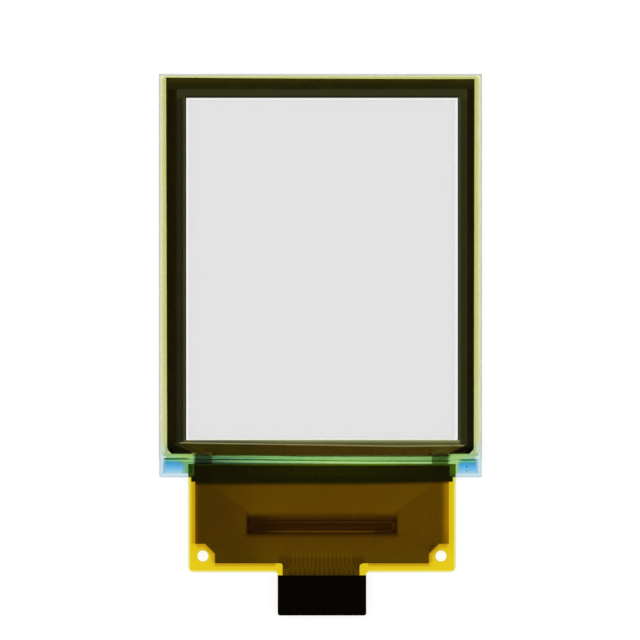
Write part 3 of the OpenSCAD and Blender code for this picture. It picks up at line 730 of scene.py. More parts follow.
BORDER_BROWN_LEFT = (0.036, 0.0285, 0.0016, 1)
BORDER_BROWN = (0.061, 0.0370, 0.0023, 1)
BORDER_BROWN_RUN = (0, 1.2)
BORDER_BROWN_REACH = mm(-9, 0)
BORDER_BROWN_HEAD_RUN = mm(-0.03, 0.05)
BORDER_BROWN_SIDE_RUN = mm(0.7, 0.3)
BORDER_STREAK_SIZE = 2.2 * MM
BORDER_STREAK_STRETCH = (0.4, 1, 1)
BORDER_STREAK_SHARE = 0.4
BORDER_PATCH = (0.078, 0.066, 0.006, 1)
BORDER_PATCH_SPAN = mm(11.6, 13.3, 0.5)
BORDER_PATCH_STREAK = 1.4
BORDER_THREAD = (0.30, 0.275, 0.10, 1)
THREAD_DROP = 0.488 * MM
THREAD_LEAN = 0.0161
THREAD_TURN_X = 8 * MM
THREAD_RISE = 0.012
THREAD_RUN = mm(0.08, 0.03)
THREAD_END_RUN = mm(0.8, 0.5)


def below_thread(finish, drop):
    """How far a place lies below the pale thread, which leans, and rises again past its turn."""
    to_turn = finish.least(finish.x, THREAD_TURN_X)
    past_turn = finish.minus(finish.x, to_turn)
    thread_drop = finish.sloped(to_turn, THREAD_LEAN, THREAD_DROP)
    return finish.minus(drop, finish.sloped(past_turn, -THREAD_RISE, thread_drop))


def border_brown(finish, tint, past_window, under_thread):
    """The brown field below the thread, redder to the right, and the thread itself."""
    streak = finish.mottle(BORDER_STREAK_SIZE, stretch=BORDER_STREAK_STRETCH)
    to_right = finish.sloped(streak, BORDER_STREAK_SHARE, finish.along(finish.x, *BORDER_BROWN_REACH))
    brown = finish.blend(finish.fade(to_right, *BORDER_BROWN_RUN), BORDER_BROWN_LEFT, BORDER_BROWN)
    patch = finish.both(streak, BORDER_PATCH_STREAK, finish.span(finish.x, *BORDER_PATCH_SPAN))
    brown = finish.blend(patch, brown, BORDER_PATCH)
    below = finish.fade(under_thread, *BORDER_BROWN_HEAD_RUN)
    field = finish.both(below, finish.fade(past_window, *BORDER_BROWN_SIDE_RUN))
    tint = finish.blend(field, tint, brown)
    on_thread = finish.fade(finish.size(under_thread), *THREAD_RUN)
    thread = finish.both(on_thread, finish.fade(past_window, *THREAD_END_RUN))
    return finish.blend(thread, tint, BORDER_THREAD)


BORDER_CORNER = (0.0060, 0.0068, 0.0006, 1)
BORDER_CORNER_RUN = mm(0.9, 1.2)
BORDER_CORNER_HEAD_RUN = mm(0.02, 0.12)
FAN_THREAD = (0.095, 0.070, 0.010, 1)
FAN_THREAD_OUTER = (0.050, 0.040, 0.010, 1)
FAN_THREAD_OFF = 0.95 * MM
FAN_THREAD_RUN = mm(0.13, 0.03)
FAN_THREAD_HEAD_RUN = mm(0, 0.1)
FAN_START_INSET = 1.4 * MM
FAN_START_RISE = 1.05 * MM
FAN_LEAN = 2.05
GROOVE_SPAN = mm(-0.0005, 0.0005, 0.0002)


def border_fan(finish, tint, under_thread):
    """The dark lower corners, and the lines where the leads of the rows fan in."""
    fall = finish.both(finish.minus(border_foot + FAN_START_RISE, finish.y), FAN_LEAN)
    past_fan = finish.minus(finish.aside(), finish.minus(border_high.x - FAN_START_INSET, fall))
    corner_head = finish.fade(under_thread, *BORDER_CORNER_HEAD_RUN)
    corner = finish.both(finish.fade(past_fan, *BORDER_CORNER_RUN), corner_head)
    tint = finish.blend(corner, tint, BORDER_CORNER)
    off_line = finish.size(finish.minus(past_fan, FAN_THREAD_OFF))
    line_head = finish.fade(under_thread, *FAN_THREAD_HEAD_RUN)
    line = finish.both(finish.fade(off_line, *FAN_THREAD_RUN), line_head, finish.on_left())
    tint = finish.blend(line, tint, FAN_THREAD_OUTER)
    in_groove = finish.span(finish.z, *GROOVE_SPAN, at=(border_low.z + border_high.z) / 2)
    groove = finish.both(in_groove, finish.short_of(finish.y, seal_inner_foot))
    return finish.blend(groove, tint, FAN_THREAD)


SEAL_DOUBLE = (0.384, 0.41, 0.042, 1)
BORDER_CLOUD_SIZE = 3 * MM
BORDER_CLOUD = (grey(0.88), grey(1.12))


def lift_under_seal(finish, tint):
    """Lifts the prints that lie under the seal, because light comes to them and back through it."""
    beside = finish.past(finish.off_middle(), seal_inner_x)
    above = finish.past(finish.y, seal_inner_head)
    below = finish.short_of(finish.y, seal_inner_foot)
    lifted = finish.blend(1.0, tint, SEAL_DOUBLE, "DIVIDE")
    return finish.blend(finish.either(above, below, beside), tint, lifted)


def border_finish():
    """Opaque film with the prints of the border."""
    finish = Finish("border_film_dark")
    past_window = finish.minus(finish.aside(), window_half)
    drop = finish.minus(window_foot, finish.y)
    under_thread = below_thread(finish, drop)
    tint = border_band(finish, past_window)
    tint = border_strip(finish, tint, past_window, drop)
    tint = border_brown(finish, tint, past_window, under_thread)
    tint = border_fan(finish, tint, under_thread)
    tint = lift_under_seal(finish, tint)
    tint = finish.shaded(tint, finish.mottle(BORDER_CLOUD_SIZE), *BORDER_CLOUD)
    return finish.done(finish.solid(tint, roughness=0.18, specular=0.1))


# Leads on the glass and the strip that bonds the film to them

LEAD_STREAK_SIZE = 0.4 * MM
LEAD_STREAK_STRETCH = (4, 0.3, 1)
ROW_LEAD_TONES = ((0.016, 0.034, 0.014, 1), (0.026, 0.05, 0.021, 1))
ROW_LEAD_RIGHT = (1.9, 1.75, 1.3, 1)
COLUMN_LEAD_TONES = ((0.84, 0.9, 0.82, 1), (0.9, 0.94, 0.88, 1))


def lead_streaks(finish, tones):
    """Two tones in streaks along the leads."""
    return finish.blend(finish.mottle(LEAD_STREAK_SIZE, stretch=LEAD_STREAK_STRETCH), *tones)


def row_lead_finish():
    finish = Finish("row_lead_metal")
    colour = finish.shaded(lead_streaks(finish, ROW_LEAD_TONES), finish.on_right(), WHITE, ROW_LEAD_RIGHT)
    return finish.done(finish.solid(colour, roughness=0.42, specular=0.05))


def column_lead_finish():
    """Clear conductor that shows as a faint stripe."""
    finish = Finish("column_lead_clear")
    return finish.clear_layer(column_leads_low, column_leads_high, lead_streaks(finish, COLUMN_LEAD_TONES))


LEDGE_SHADE = (
    (0.1, grey(0.44)), (0.4, grey(0.94)), (0.65, grey(0.97)), (0.9, grey(0.62)))
# Painted light at the film's cut end, in tones across the columns
HEAD_GLOW = (
    (0.05, (0.055, 0.135, 0.07, 1)), (0.6, (0.36, 0.78, 0.42, 1)),
    (0.8, (0.34, 0.76, 0.42, 1)), (1.0, (0.16, 0.42, 0.22, 1)))
HEAD_GLOW_RUN = mm(-0.27, -0.02)
BOND_TONES = ((0.016, 0.032, 0.02, 1), (0.023, 0.046, 0.024, 1))
BOND_CLOUD_SIZE = 1.5 * MM
BOND_GRAIN = (0.05, 0.07, 0.04, 1)
BOND_GRAIN_SIZE = 0.03 * MM
BOND_GRAIN_RUN = (0.25, 0.1)


def head_glow(finish, colour):
    """Painted light: lightens what lies under the film towards the film's cut end on the glass."""
    near = finish.fade(finish.y, *HEAD_GLOW_RUN, at=film_high.y)
    return finish.blend(near, colour, across_columns(finish, HEAD_GLOW))


def adhesive_finish():
    """Dark bonding strip with its fine conductive grains."""
    finish = Finish("bond_adhesive_dark")
    colour = finish.blend(finish.mottle(BOND_CLOUD_SIZE), *BOND_TONES)
    grain = finish.fade(finish.grains(BOND_GRAIN_SIZE), *BOND_GRAIN_RUN)
    colour = finish.blend(grain, colour, BOND_GRAIN)
    colour = finish.times(colour, across_columns(finish, LEDGE_SHADE))
    # Painted light near the film's cut end comes in through head_glow
    return finish.done(finish.solid(head_glow(finish, colour), roughness=0.5, specular=0.1))


# Film

FILM_TONES = ((0.75, 0.567, 0.0085, 1), (0.80, 0.55, 0.004, 1))
FILM_CLOUD_SIZE = 3 * MM
FILM_FOOT = (0.814, 0.642, 0.012, 1)
FILM_FOOT_SHARE = 0.8
FILM_FOOT_START = 5 * MM
FILM_FOOT_END = 0.5 * MM
FILM_RIM = (0.885, 0.892, 0.183, 1)
FILM_RIM_RUN = mm(0.23, 0.09)
# Greyer cut edge of the film: partly its own edge and partly a painted shadow along its outline
FILM_EDGE_AND_SHADOW = (0.68, 0.69, 0.46, 1)
FILM_EDGE_AND_SHADOW_RUN = mm(0.11, 0.03)
FILM_BY_COAT = (0.58, 0.32, 0.004, 1)
FILM_BY_COAT_SHARE = 0.9
FILM_COAT_PRINT = (0.088, 0.044, 0.001, 1)
FILM_ON_LEDGE = (0.3, 0.29, 0.05, 1)
FILM_ON_LEDGE_RUN = mm(-0.05, 0.1)
FILM_BY_EDGE = (0.05, 0.09, 0.01, 1)
FILM_BY_EDGE_RUN = mm(0.05, -0.05)
FILM_INDEX = 1.25
FILM_RUB_SIZE = 0.25 * MM
FILM_RUB_STRETCH = (1, 0.2, 1)
FILM_RUB_ROUGHNESS = 0.12
FILM_ROUGHNESS = 0.14
BESIDE_TAIL_RUN = mm(0.1, 0.3)

# Where the coat ends at the tooling holes and at the neck, and how its print runs on past that
HOLE_CLEAR_R = 1.22 * MM
HOLE_CORNER_R = 0.7 * MM
HOLE_CUT = 1.01 * MM
HOLE_CUT_RUN = mm(-0.06, 0.06)
NECK_R = 0.7 * MM
NECK_PRINT_R = 0.25 * MM
NECK_PRINT_LEFT = 0.38 * MM
NECK_PRINT_RIGHT = 0.2 * MM
NECK_PRINT_RUN = mm(-0.05, 0.03)

# Deeper amber beside the coat, at its left side, at its foot and by the holes
COAT_START_RUN = mm(0, 0.04)
COAT_SIDE_END_RUN = mm(0.42, 0.16)
COAT_SIDE_LOW_RUN = mm(2.8, 3.0)
COAT_FOOT_END_RUN = mm(0.56, 0.2)
COAT_FOOT_SIDE_RUN = mm(-2.4, -2.9)
COAT_HOLE_RUN = mm(-0.6, -0.03)
COAT_HOLE_SIDE_RUN = mm(0.05, -0.35)


def beside_tail(finish):
    return finish.fade(finish.aside(), *BESIDE_TAIL_RUN, at=tail_half)


def film_rim(finish, run):
    """Nearness to the film's own outline, from 0 inside to 1 at the cut edge."""
    side = finish.fade(finish.minus(film_half, finish.aside()), *run)
    foot = finish.fade(finish.minus(finish.y, film_shoulder), *run)
    return finish.either(side, finish.both(foot, beside_tail(finish)))


def past_corner(finish, x, y, radius):
    """How far a place is past a rounded corner of bare film, whose sides lie at x and at y."""
    inwards = finish.either(finish.minus(x + radius, finish.aside()), 0)
    upwards = finish.either(finish.minus(finish.y, y - radius), 0)
    return finish.minus(finish.length(inwards, upwards), radius)


def past_hole(finish):
    """How far a place is past the cut corner of the coat by the nearer tooling hole."""
    inwards = finish.minus(hole_off, finish.aside())
    upwards = finish.minus(finish.y, hole_y)
    return finish.sloped(finish.plus(inwards, upwards), math.sqrt(0.5), -HOLE_CUT)


def by_hole_corner(finish):
    """1 on the bare film about a tooling hole."""
    past = past_corner(finish, hole_off - HOLE_CLEAR_R, hole_y + HOLE_CLEAR_R, HOLE_CORNER_R)
    return finish.both(finish.short_of(past, 0), finish.past(finish.y, coat_foot))


def beside_neck(finish):
    """1 where the coat runs on past its own edge at the neck, more so on the left."""
    bare = finish.short_of(past_corner(finish, neck_half, coat_foot, NECK_R), 0)
    above_tail = finish.short_of(finish.aside(), tail_half)
    past_left = past_corner(finish, neck_half + NECK_PRINT_LEFT, coat_foot, NECK_PRINT_R)
    past_right = past_corner(finish, neck_half + NECK_PRINT_RIGHT, coat_foot, NECK_PRINT_R)
    left = finish.short_of(finish.x, pattern_x)
    past = finish.plus(finish.both(past_left, left), finish.both(past_right, finish.less(left)))
    return finish.both(bare, above_tail, finish.fade(past, *NECK_PRINT_RUN))


def film_by_coat(finish):
    """1 on the amber film close to the coat's left side, its foot and its corners by the holes."""
    aside = finish.aside()
    off_side = finish.minus(aside, coat_half)
    by_side = finish.both(finish.fade(off_side, *COAT_START_RUN), finish.fade(off_side, *COAT_SIDE_END_RUN))
    by_side = finish.both(by_side, finish.fade(finish.y, *COAT_SIDE_LOW_RUN, at=film_shoulder))
    by_side = finish.both(by_side, finish.fade(finish.x, *reversed(SIDE_RUN)))
    off_foot = finish.minus(coat_foot, finish.y)
    by_foot = finish.both(finish.fade(off_foot, *COAT_START_RUN), finish.fade(off_foot, *COAT_FOOT_END_RUN))
    by_foot = finish.both(by_foot, finish.fade(aside, *COAT_FOOT_SIDE_RUN, at=film_half))
    by_foot = finish.both(by_foot, beside_tail(finish))
    past_side = finish.minus(hole_off - HOLE_CLEAR_R, aside)
    past_head = finish.minus(finish.y, hole_y + HOLE_CLEAR_R)
    past = finish.either(past_side, past_head, past_hole(finish))
    by_hole = finish.both(finish.fade(past, *COAT_HOLE_RUN), by_hole_corner(finish))
    by_hole = finish.both(by_hole, finish.fade(off_side, *COAT_HOLE_SIDE_RUN))
    return finish.either(by_side, by_foot, by_hole)


def film_on_ledge(finish, tint):
    """Darkens the film's bare margins where they lie on the glass."""
    on_ledge = finish.fade(finish.y, *FILM_ON_LEDGE_RUN, at=substrate_low.y)
    margin = finish.past(finish.aside(), bond_half)
    below_resin = finish.fade(finish.y, *FILM_BY_EDGE_RUN, at=resin_low.y)
    ledge_tint = finish.blend(below_resin, FILM_ON_LEDGE, FILM_BY_EDGE)
    return finish.blend(finish.both(on_ledge, margin), tint, ledge_tint)


def film_finish():
    finish = Finish("base_film_amber")
    top = finish.on_upper(film_low, film_high)
    tint = finish.blend(finish.mottle(FILM_CLOUD_SIZE), *FILM_TONES)
    low = finish.fade(finish.y, resist_low.y + FILM_FOOT_START, film_shoulder + FILM_FOOT_END)
    tint = finish.blend(finish.both(low, FILM_FOOT_SHARE), tint, FILM_FOOT)
    tint = finish.blend(finish.both(film_by_coat(finish), FILM_BY_COAT_SHARE), tint, FILM_BY_COAT)
    past_cut = finish.both(finish.fade(past_hole(finish), *HOLE_CUT_RUN), by_hole_corner(finish))
    tint = finish.blend(finish.either(past_cut, beside_neck(finish)), tint, FILM_COAT_PRINT)
    tint = finish.blend(film_rim(finish, FILM_RIM_RUN), tint, FILM_RIM)
    # Cut edge with a painted shadow at the film's outline
    tint = finish.blend(film_rim(finish, FILM_EDGE_AND_SHADOW_RUN), tint, FILM_EDGE_AND_SHADOW)
    tint = finish.blend(top, WHITE, film_on_ledge(finish, tint))
    share = finish.both(finish.mirror_share(FILM_INDEX), top)
    rub = finish.mottle(FILM_RUB_SIZE, stretch=FILM_RUB_STRETCH)
    gloss = finish.gloss(finish.sloped(rub, FILM_RUB_ROUGHNESS, FILM_ROUGHNESS))
    return finish.done(finish.over(share, finish.clear(tint), gloss))


# Coat under the film

BROWN_LIGHT = (0.204, 0.182, 0.08, 1)
BROWN_SIDE = (0.124, 0.113, 0.05, 1)
BROWN_SIDE_REACH = mm(-4, -11.5)
BROWN_SIDE_SWAY = 0.35
BROWN_CLOUD_SIZE = 2.5 * MM
BROWN_CLOUD = (grey(0.93), grey(1.07))
BROWN_LOW = (0.165, 0.135, 0.06, 1)
BROWN_LOW_SHARE = 0.55
BROWN_LOW_START = 0.5 * MM
BROWN_LOW_END = 3.5 * MM
BROWN_LOW_LEFT_SHARE = 0.9
BROWN_LOW_LEFT_RUN = mm(-5, -8.5)
BROWN_NECK = (0.125, 0.100, 0.05, 1)
BROWN_NECK_RUN = mm(1.9, 1.2)
BROWN_NECK_SIDE_RUN = mm(0.1, -0.4)
BROWN_ROUND_CHIP = (0.05, 0.035, 0.02, 1)
BROWN_ROUND_CHIP_RUN = mm(0.6, -0.1)
BROWN_ROUND_CHIP_SHARE = 0.62
BROWN_BELOW_CHIP_MORE = 0.25
BROWN_ROUND_CHIP_PACE = 1.8
BROWN_RIM_LEFT = (2.0, 1.85, 1.0, 1)
BROWN_RIM_RIGHT = (3.1, 3.2, 1.0, 1)
BROWN_RIM_WIDTH = 0.55 * MM
BROWN_RIM_RIGHT_MORE = 0.35 * MM
BROWN_HEAD = (0.022, 0.045, 0.02, 1)
BROWN_HEAD_RUN = mm(-0.52, -0.05)
BROWN_HEAD_RISE = 0.2 * MM
BROWN_HEAD_RISE_REACH = mm(4, 13)
BROWN_ON_PADS = grey(0.85)
BROWN_ON_PADS_RUN = mm(0, 0.2)


def coat_field(finish, cloud):
    """The coat's own tone: deeper on the left, low down and at the neck."""
    to_left = finish.plus(finish.along(finish.x, *BROWN_SIDE_REACH), finish.both(cloud, BROWN_SIDE_SWAY))
    tone = finish.blend(finish.fade(to_left, 0, 1), BROWN_LIGHT, BROWN_SIDE)
    low = finish.fade(finish.y, chip_y + BROWN_LOW_START, resist_low.y + BROWN_LOW_END)
    tone = finish.blend(finish.both(low, BROWN_LOW_SHARE), tone, BROWN_LOW)
    low_left = finish.both(low, finish.fade(finish.x, *BROWN_LOW_LEFT_RUN))
    tone = finish.blend(finish.both(low_left, BROWN_LOW_LEFT_SHARE), tone, BROWN_SIDE)
    above_tail = finish.fade(finish.aside(), *BROWN_NECK_SIDE_RUN, at=tail_half)
    neck = finish.both(finish.fade(finish.y, *BROWN_NECK_RUN, at=film_shoulder), above_tail)
    return finish.blend(neck, tone, BROWN_NECK)


def coat_round_chip(finish, tone):
    """Darkens the coat round the chip, most of all below it."""
    beyond = finish.minus(finish.aside(), chip_half)
    across = finish.either(finish.both(beyond, BROWN_ROUND_CHIP_PACE), 0)
    up = finish.minus(finish.y, underfill_high.y)
    down = finish.minus(underfill_low.y, finish.y)
    near = finish.fade(finish.length(across, finish.either(up, down, 0)), *BROWN_ROUND_CHIP_RUN)
    depth = finish.sloped(finish.past(down, 0), BROWN_BELOW_CHIP_MORE, BROWN_ROUND_CHIP_SHARE)
    return finish.blend(finish.both(near, depth), tone, BROWN_ROUND_CHIP)


def coat_sides(finish, tone):
    """Lightens the coat towards its sides."""
    right = finish.on_right()
    width = finish.sloped(right, BROWN_RIM_RIGHT_MORE, BROWN_RIM_WIDTH)
    to_side = finish.reckon("DIVIDE", finish.minus(coat_half, finish.aside()), width)
    lift = finish.blend(right, BROWN_RIM_LEFT, BROWN_RIM_RIGHT)
    return finish.shaded(tone, finish.fade(to_side, 1, 0), WHITE, lift)


def coat_head(finish, tone):
    """Dark green towards the ledge, from a line that rises to the right, with the painted glow of light at
    the film's end.
    """
    rise = finish.both(finish.along(finish.x, *BROWN_HEAD_RISE_REACH), BROWN_HEAD_RISE)
    head = finish.fade(finish.minus(finish.y, rise), *BROWN_HEAD_RUN, at=resist_high.y)
    tone = finish.blend(head, tone, finish.times(BROWN_HEAD, across_columns(finish, LEDGE_SHADE)))
    on_pads = finish.both(head, finish.fade(finish.aside(), *BROWN_ON_PADS_RUN, at=row_pads_inner))
    return head_glow(finish, finish.shaded(tone, on_pads, WHITE, BROWN_ON_PADS))


def brown_coat(finish):
    """Tone of the coat, which the copper in it shares."""
    cloud = finish.sway(BROWN_CLOUD_SIZE, detail=3)
    tone = coat_round_chip(finish, coat_field(finish, cloud))
    tone = coat_head(finish, coat_sides(finish, tone))
    return finish.shaded(tone, finish.plus(cloud, finish.NOISE_MIDDLE), *BROWN_CLOUD)


BY_NECK_RUN = mm(2.3, 1.5)
BY_NECK_SIDE_RUN = mm(0.1, -0.3)
INPUT_LINES_INSET = 0.8 * MM


def by_neck(finish):
    """Nearness to the neck, where the lines of copper show up against the coat."""
    low = finish.fade(finish.y, *BY_NECK_RUN, at=film_shoulder)
    return finish.both(low, finish.fade(finish.aside(), *BY_NECK_SIDE_RUN, at=tail_half))


def below_chip(finish):
    """1 where the few wide input lines run from the chip to the neck."""
    low = finish.short_of(finish.y, underfill_low.y)
    return finish.both(low, finish.short_of(finish.aside(), tail_half - INPUT_LINES_INSET))


# Field over the chip

CHIP_DARK = (0.047, 0.026, 0.018, 1)
CHIP_CLOUD_SIZE = 0.6 * MM
CHIP_CLOUD = (grey(0.9), grey(1.1))
CHIP_RIM = (0.128, 0.092, 0.045, 1)
CHIP_RIM_RUN = mm(0.6, 0)
CHIP_RIM_SHARE = 0.5
CHIP_RIM_INNER_MORE = 0.4
CHIP_RIM_INNER_RUN = mm(6.5, 4.5)
CHIP_LINE = (0.10, 0.080, 0.05, 1)
CHIP_LINE_LEFT_SHARE = 0.4
CHIP_LINE_RIGHT_MORE = 0.6
CHIP_LINE_RUN = mm(-7, 2)
CHIP_TOP_SPAN = mm(0.56, 0.66, 0.03)
CHIP_MIDDLE_SPAN = mm(0.53, 0.68, 0.04)
CHIP_MIDDLE_SHARE = 0.35
CHIP_FOOT_SPAN = mm(0.16, 0.33, 0.04)
CHIP_FOOT_SHARE = 0.5
CHIP_END_SPAN = mm(-0.37, -0.28, 0.03)
CHIP_END_HEAD_RUN = mm(0.3, 0.36)
CHIP_END_FOOT_RUN = mm(0.2, 0.3)
CHIP_INSIDE_RUN = mm(-0.25, -0.32)
CHIP_BUMPS_RUN = mm(5.8, 5.0)
CHIP_BRIGHT_LINE = (0.17, 0.135, 0.08, 1)
CHIP_BRIGHT_LEAST = 0.4
CHIP_BRIGHT_MORE = 0.6
CHIP_LEFT_END = grey(0.66)
CHIP_LEFT_END_RUN = mm(-3.5, -6.5)
CHIP_SPOT = (0.010, 0.003, 0.003, 1)
CHIP_SPOT_SHARE = 0.8
CHIP_SPOT_RUN = mm(0.26, 0.08)
CHIP_SPOT_IN = 0.28 * MM
CHIP_SPOT_BELOW_TOP = 0.44 * MM
CHIP_SPOT_ABOVE_FOOT = 0.24 * MM


def chip_spots(finish, aside, below_top, above_foot):
    """Dark marks at the corners of the chip."""
    to_end = finish.minus(aside, chip_half - CHIP_SPOT_IN)
    to_top = finish.size(finish.minus(below_top, CHIP_SPOT_BELOW_TOP))
    to_foot = finish.size(finish.minus(above_foot, CHIP_SPOT_ABOVE_FOOT))
    return finish.fade(finish.length(to_end, finish.least(to_top, to_foot)), *CHIP_SPOT_RUN)


def chip_lines(finish, tone, aside, below_top, above_foot):
    """The fine lines of the chip's outline, fainter to the left."""
    inside = finish.fade(aside, *CHIP_INSIDE_RUN, at=chip_half)
    to_right = finish.fade(finish.x, *CHIP_LINE_RUN)
    strength = finish.sloped(to_right, CHIP_LINE_RIGHT_MORE, CHIP_LINE_LEFT_SHARE)
    top_line = finish.both(finish.span(below_top, *CHIP_TOP_SPAN), inside)
    under_head = finish.fade(below_top, *CHIP_END_HEAD_RUN)
    over_foot = finish.fade(above_foot, *CHIP_END_FOOT_RUN)
    end_line = finish.both(under_head, over_foot, finish.span(aside, *CHIP_END_SPAN, at=chip_half))
    tone = finish.blend(finish.both(finish.either(top_line, end_line), strength), tone, CHIP_LINE)
    along_bumps = finish.fade(aside, *CHIP_BUMPS_RUN)
    middle_line = finish.both(finish.span(above_foot, *CHIP_MIDDLE_SPAN), along_bumps)
    tone = finish.blend(finish.both(middle_line, CHIP_MIDDLE_SHARE), tone, CHIP_LINE)
    foot_line = finish.span(above_foot, *CHIP_FOOT_SPAN)
    tone = finish.blend(finish.both(foot_line, inside, CHIP_FOOT_SHARE), tone, CHIP_LINE)
    bright = finish.sloped(strength, CHIP_BRIGHT_MORE, CHIP_BRIGHT_LEAST)
    return finish.blend(finish.both(foot_line, along_bumps, bright), tone, CHIP_BRIGHT_LINE)


def chip_tone(finish):
    """Dark field over the chip, with its lighter rim, its lines and its marks."""
    aside = finish.aside()
    below_top = finish.minus(underfill_high.y, finish.y)
    above_foot = finish.minus(finish.y, underfill_low.y)
    inner = finish.fade(aside, *CHIP_RIM_INNER_RUN)
    rim = finish.both(
        finish.fade(below_top, *CHIP_RIM_RUN), finish.sloped(inner, CHIP_RIM_INNER_MORE, CHIP_RIM_SHARE))
    tone = finish.blend(rim, CHIP_DARK, CHIP_RIM)
    tone = chip_lines(finish, tone, aside, below_top, above_foot)
    tone = finish.shaded(tone, finish.fade(finish.x, *CHIP_LEFT_END_RUN), WHITE, CHIP_LEFT_END)
    spots = chip_spots(finish, aside, below_top, above_foot)
    tone = finish.blend(finish.both(spots, CHIP_SPOT_SHARE), tone, CHIP_SPOT)
    return finish.shaded(tone, finish.mottle(CHIP_CLOUD_SIZE), *CHIP_CLOUD)


# What the film carries

COPPER_LIFT = grey(1.52)
COPPER_LIFT_INPUT = grey(0.92)
COPPER_LIFT_NECK = grey(1.22)
COPPER_OVER_CHIP = grey(1.08)
RESIST_PEEL = (grey(0.8), grey(0.92))
RESIST_PEEL_SIZE = 0.08 * MM
RESIST_AT_NECK = grey(0.98)
CONTACT_TONES = ((0.83, 0.60, 0.22, 1), (0.90, 0.68, 0.30, 1))
CONTACT_RUB_SIZE = 0.12 * MM
CONTACT_RUB_STRETCH = (1, 0.08, 1)
CONTACT_RUB_ROUGHNESS = 0.15
CONTACT_ROUGHNESS = 0.2
DIE_TONES = ((0.05, 0.042, 0.048, 1), (0.07, 0.06, 0.068, 1))
DIE_POLISH_SIZE = 0.3 * MM
DIE_POLISH_STRETCH = (0.15, 2, 1)
DIE_POLISH_ROUGHNESS = 0.12
DIE_ROUGHNESS = 0.2
BOARD_TONES = ((0.0016, 0.0010, 0.0002, 1), (0.0028, 0.0019, 0.0005, 1))
BOARD_WEAVE_SIZE = 0.06 * MM
BOARD_WEAVE_STRETCH = (1, 0.5, 1)
BOARD_WEAVE_DEPTH = 0.002 * MM
TAPE_TONES = ((0.16, 0.15, 0.13, 1), (0.22, 0.21, 0.18, 1))
TAPE_CLOUD_SIZE = 0.2 * MM


def copper_finish():
    """Film copper, a little lighter than the coat, and dark on the ledge and over the chip."""
    finish = Finish("film_copper_brown")
    lift = finish.blend(below_chip(finish), COPPER_LIFT, COPPER_LIFT_INPUT)
    colour = finish.shaded(brown_coat(finish), by_neck(finish), lift, COPPER_LIFT_NECK)
    below_top = finish.short_of(finish.y, underfill_high.y)
    above_foot = finish.past(finish.y, underfill_low.y)
    over_chip = finish.both(below_top, above_foot, finish.short_of(finish.aside(), chip_half))
    colour = finish.blend(over_chip, colour, finish.times(chip_tone(finish), COPPER_OVER_CHIP))
    return finish.done(finish.solid(colour, roughness=0.45, metallic=0.1, specular=0.2))


def contact_finish():
    finish = Finish("contact_gold_plate")
    rub = finish.mottle(CONTACT_RUB_SIZE, stretch=CONTACT_RUB_STRETCH)
    roughness = finish.sloped(rub, CONTACT_RUB_ROUGHNESS, CONTACT_ROUGHNESS)
    return finish.done(finish.solid(finish.blend(rub, *CONTACT_TONES), roughness, metallic=1.0))


def resist_finish():
    finish = Finish("solder_resist_brown")
    colour = finish.shaded(brown_coat(finish), finish.mottle(RESIST_PEEL_SIZE), *RESIST_PEEL)
    colour = finish.shaded(colour, by_neck(finish), WHITE, RESIST_AT_NECK)
    return finish.done(finish.solid(colour, roughness=0.45, specular=0.2))


def die_finish():
    finish = Finish("driver_die_silicon")
    polish = finish.mottle(DIE_POLISH_SIZE, stretch=DIE_POLISH_STRETCH)
    roughness = finish.sloped(polish, DIE_POLISH_ROUGHNESS, DIE_ROUGHNESS)
    return finish.done(finish.solid(finish.blend(polish, *DIE_TONES), roughness, metallic=0.5))


def underfill_finish():
    finish = Finish("underfill_dark")
    return finish.done(finish.solid(chip_tone(finish), roughness=0.3, specular=0.15))


def stiffener_finish():
    finish = Finish("stiffener_black_board")
    weave = finish.mottle(BOARD_WEAVE_SIZE, stretch=BOARD_WEAVE_STRETCH)
    colour = finish.blend(weave, *BOARD_TONES)
    relief = finish.relief(weave, BOARD_WEAVE_DEPTH)
    return finish.done(finish.solid(colour, roughness=0.7, specular=0.003, normal=relief))


def tape_finish():
    finish = Finish("stiffener_tape_grey")
    colour = finish.blend(finish.mottle(TAPE_CLOUD_SIZE), *TAPE_TONES)
    return finish.done(finish.solid(colour, roughness=0.6, specular=0.3))


# Resin along the film's end

RESIN_INDEX = 1.1
RESIN_POLISH = 0.08
RESIN_LEVEL = 0.3
RESIN_TOP_RISE = 0.012 * MM
RESIN_CORNER_TONES = (
    (0.08, (0.055, 0.24, 0.125, 1)), (0.12, (0.22, 0.62, 0.42, 1)), (0.2, (0.075, 0.38, 0.47, 1)),
    (0.35, (0.08, 0.39, 0.72, 1)), (0.6, (0.15, 0.52, 0.87, 1)), (1.0, (0.45, 0.70, 0.83, 1)))
RESIN_CLOUD_SIZE = 0.8 * MM
RESIN_CLOUD = 0.12
RESIN_RIGHT_UP = 0.05
RESIN_RIM = (0.32, 0.54, 0.72, 1)
RESIN_RIM_RUN = mm(0.3, 0.05)
RESIN_BY_FILM_LEFT = (0.20, 0.45, 0.18, 1)
RESIN_BY_FILM_RIGHT = (0.42, 0.67, 0.23, 1)
# Painted highlight along the resin beside the film, below the cover's foot
RESIN_BY_FILM_HIGHLIGHT = (0.36, 0.68, 0.27, 1)
RESIN_BY_FILM_HIGHLIGHT_SPAN = (0.08, 0.16, 0.03)
RESIN_BY_FILM_SHADE = (0.76, 0.8, 0.45, 1)
RESIN_BY_FILM_SHADE_RUN = (0.08, 0.04)
RESIN_BY_FILM_RUN = (0.1, 1.1)
RESIN_BY_FILM_WIDTH = 0.75 * MM
RESIN_BY_FILM_HEAD_MORE = 0.7 * MM
RESIN_BY_FILM_HEAD_RUN = (0.5, 0.15)
RESIN_BY_FILM_RIGHT_LESS = 0.5


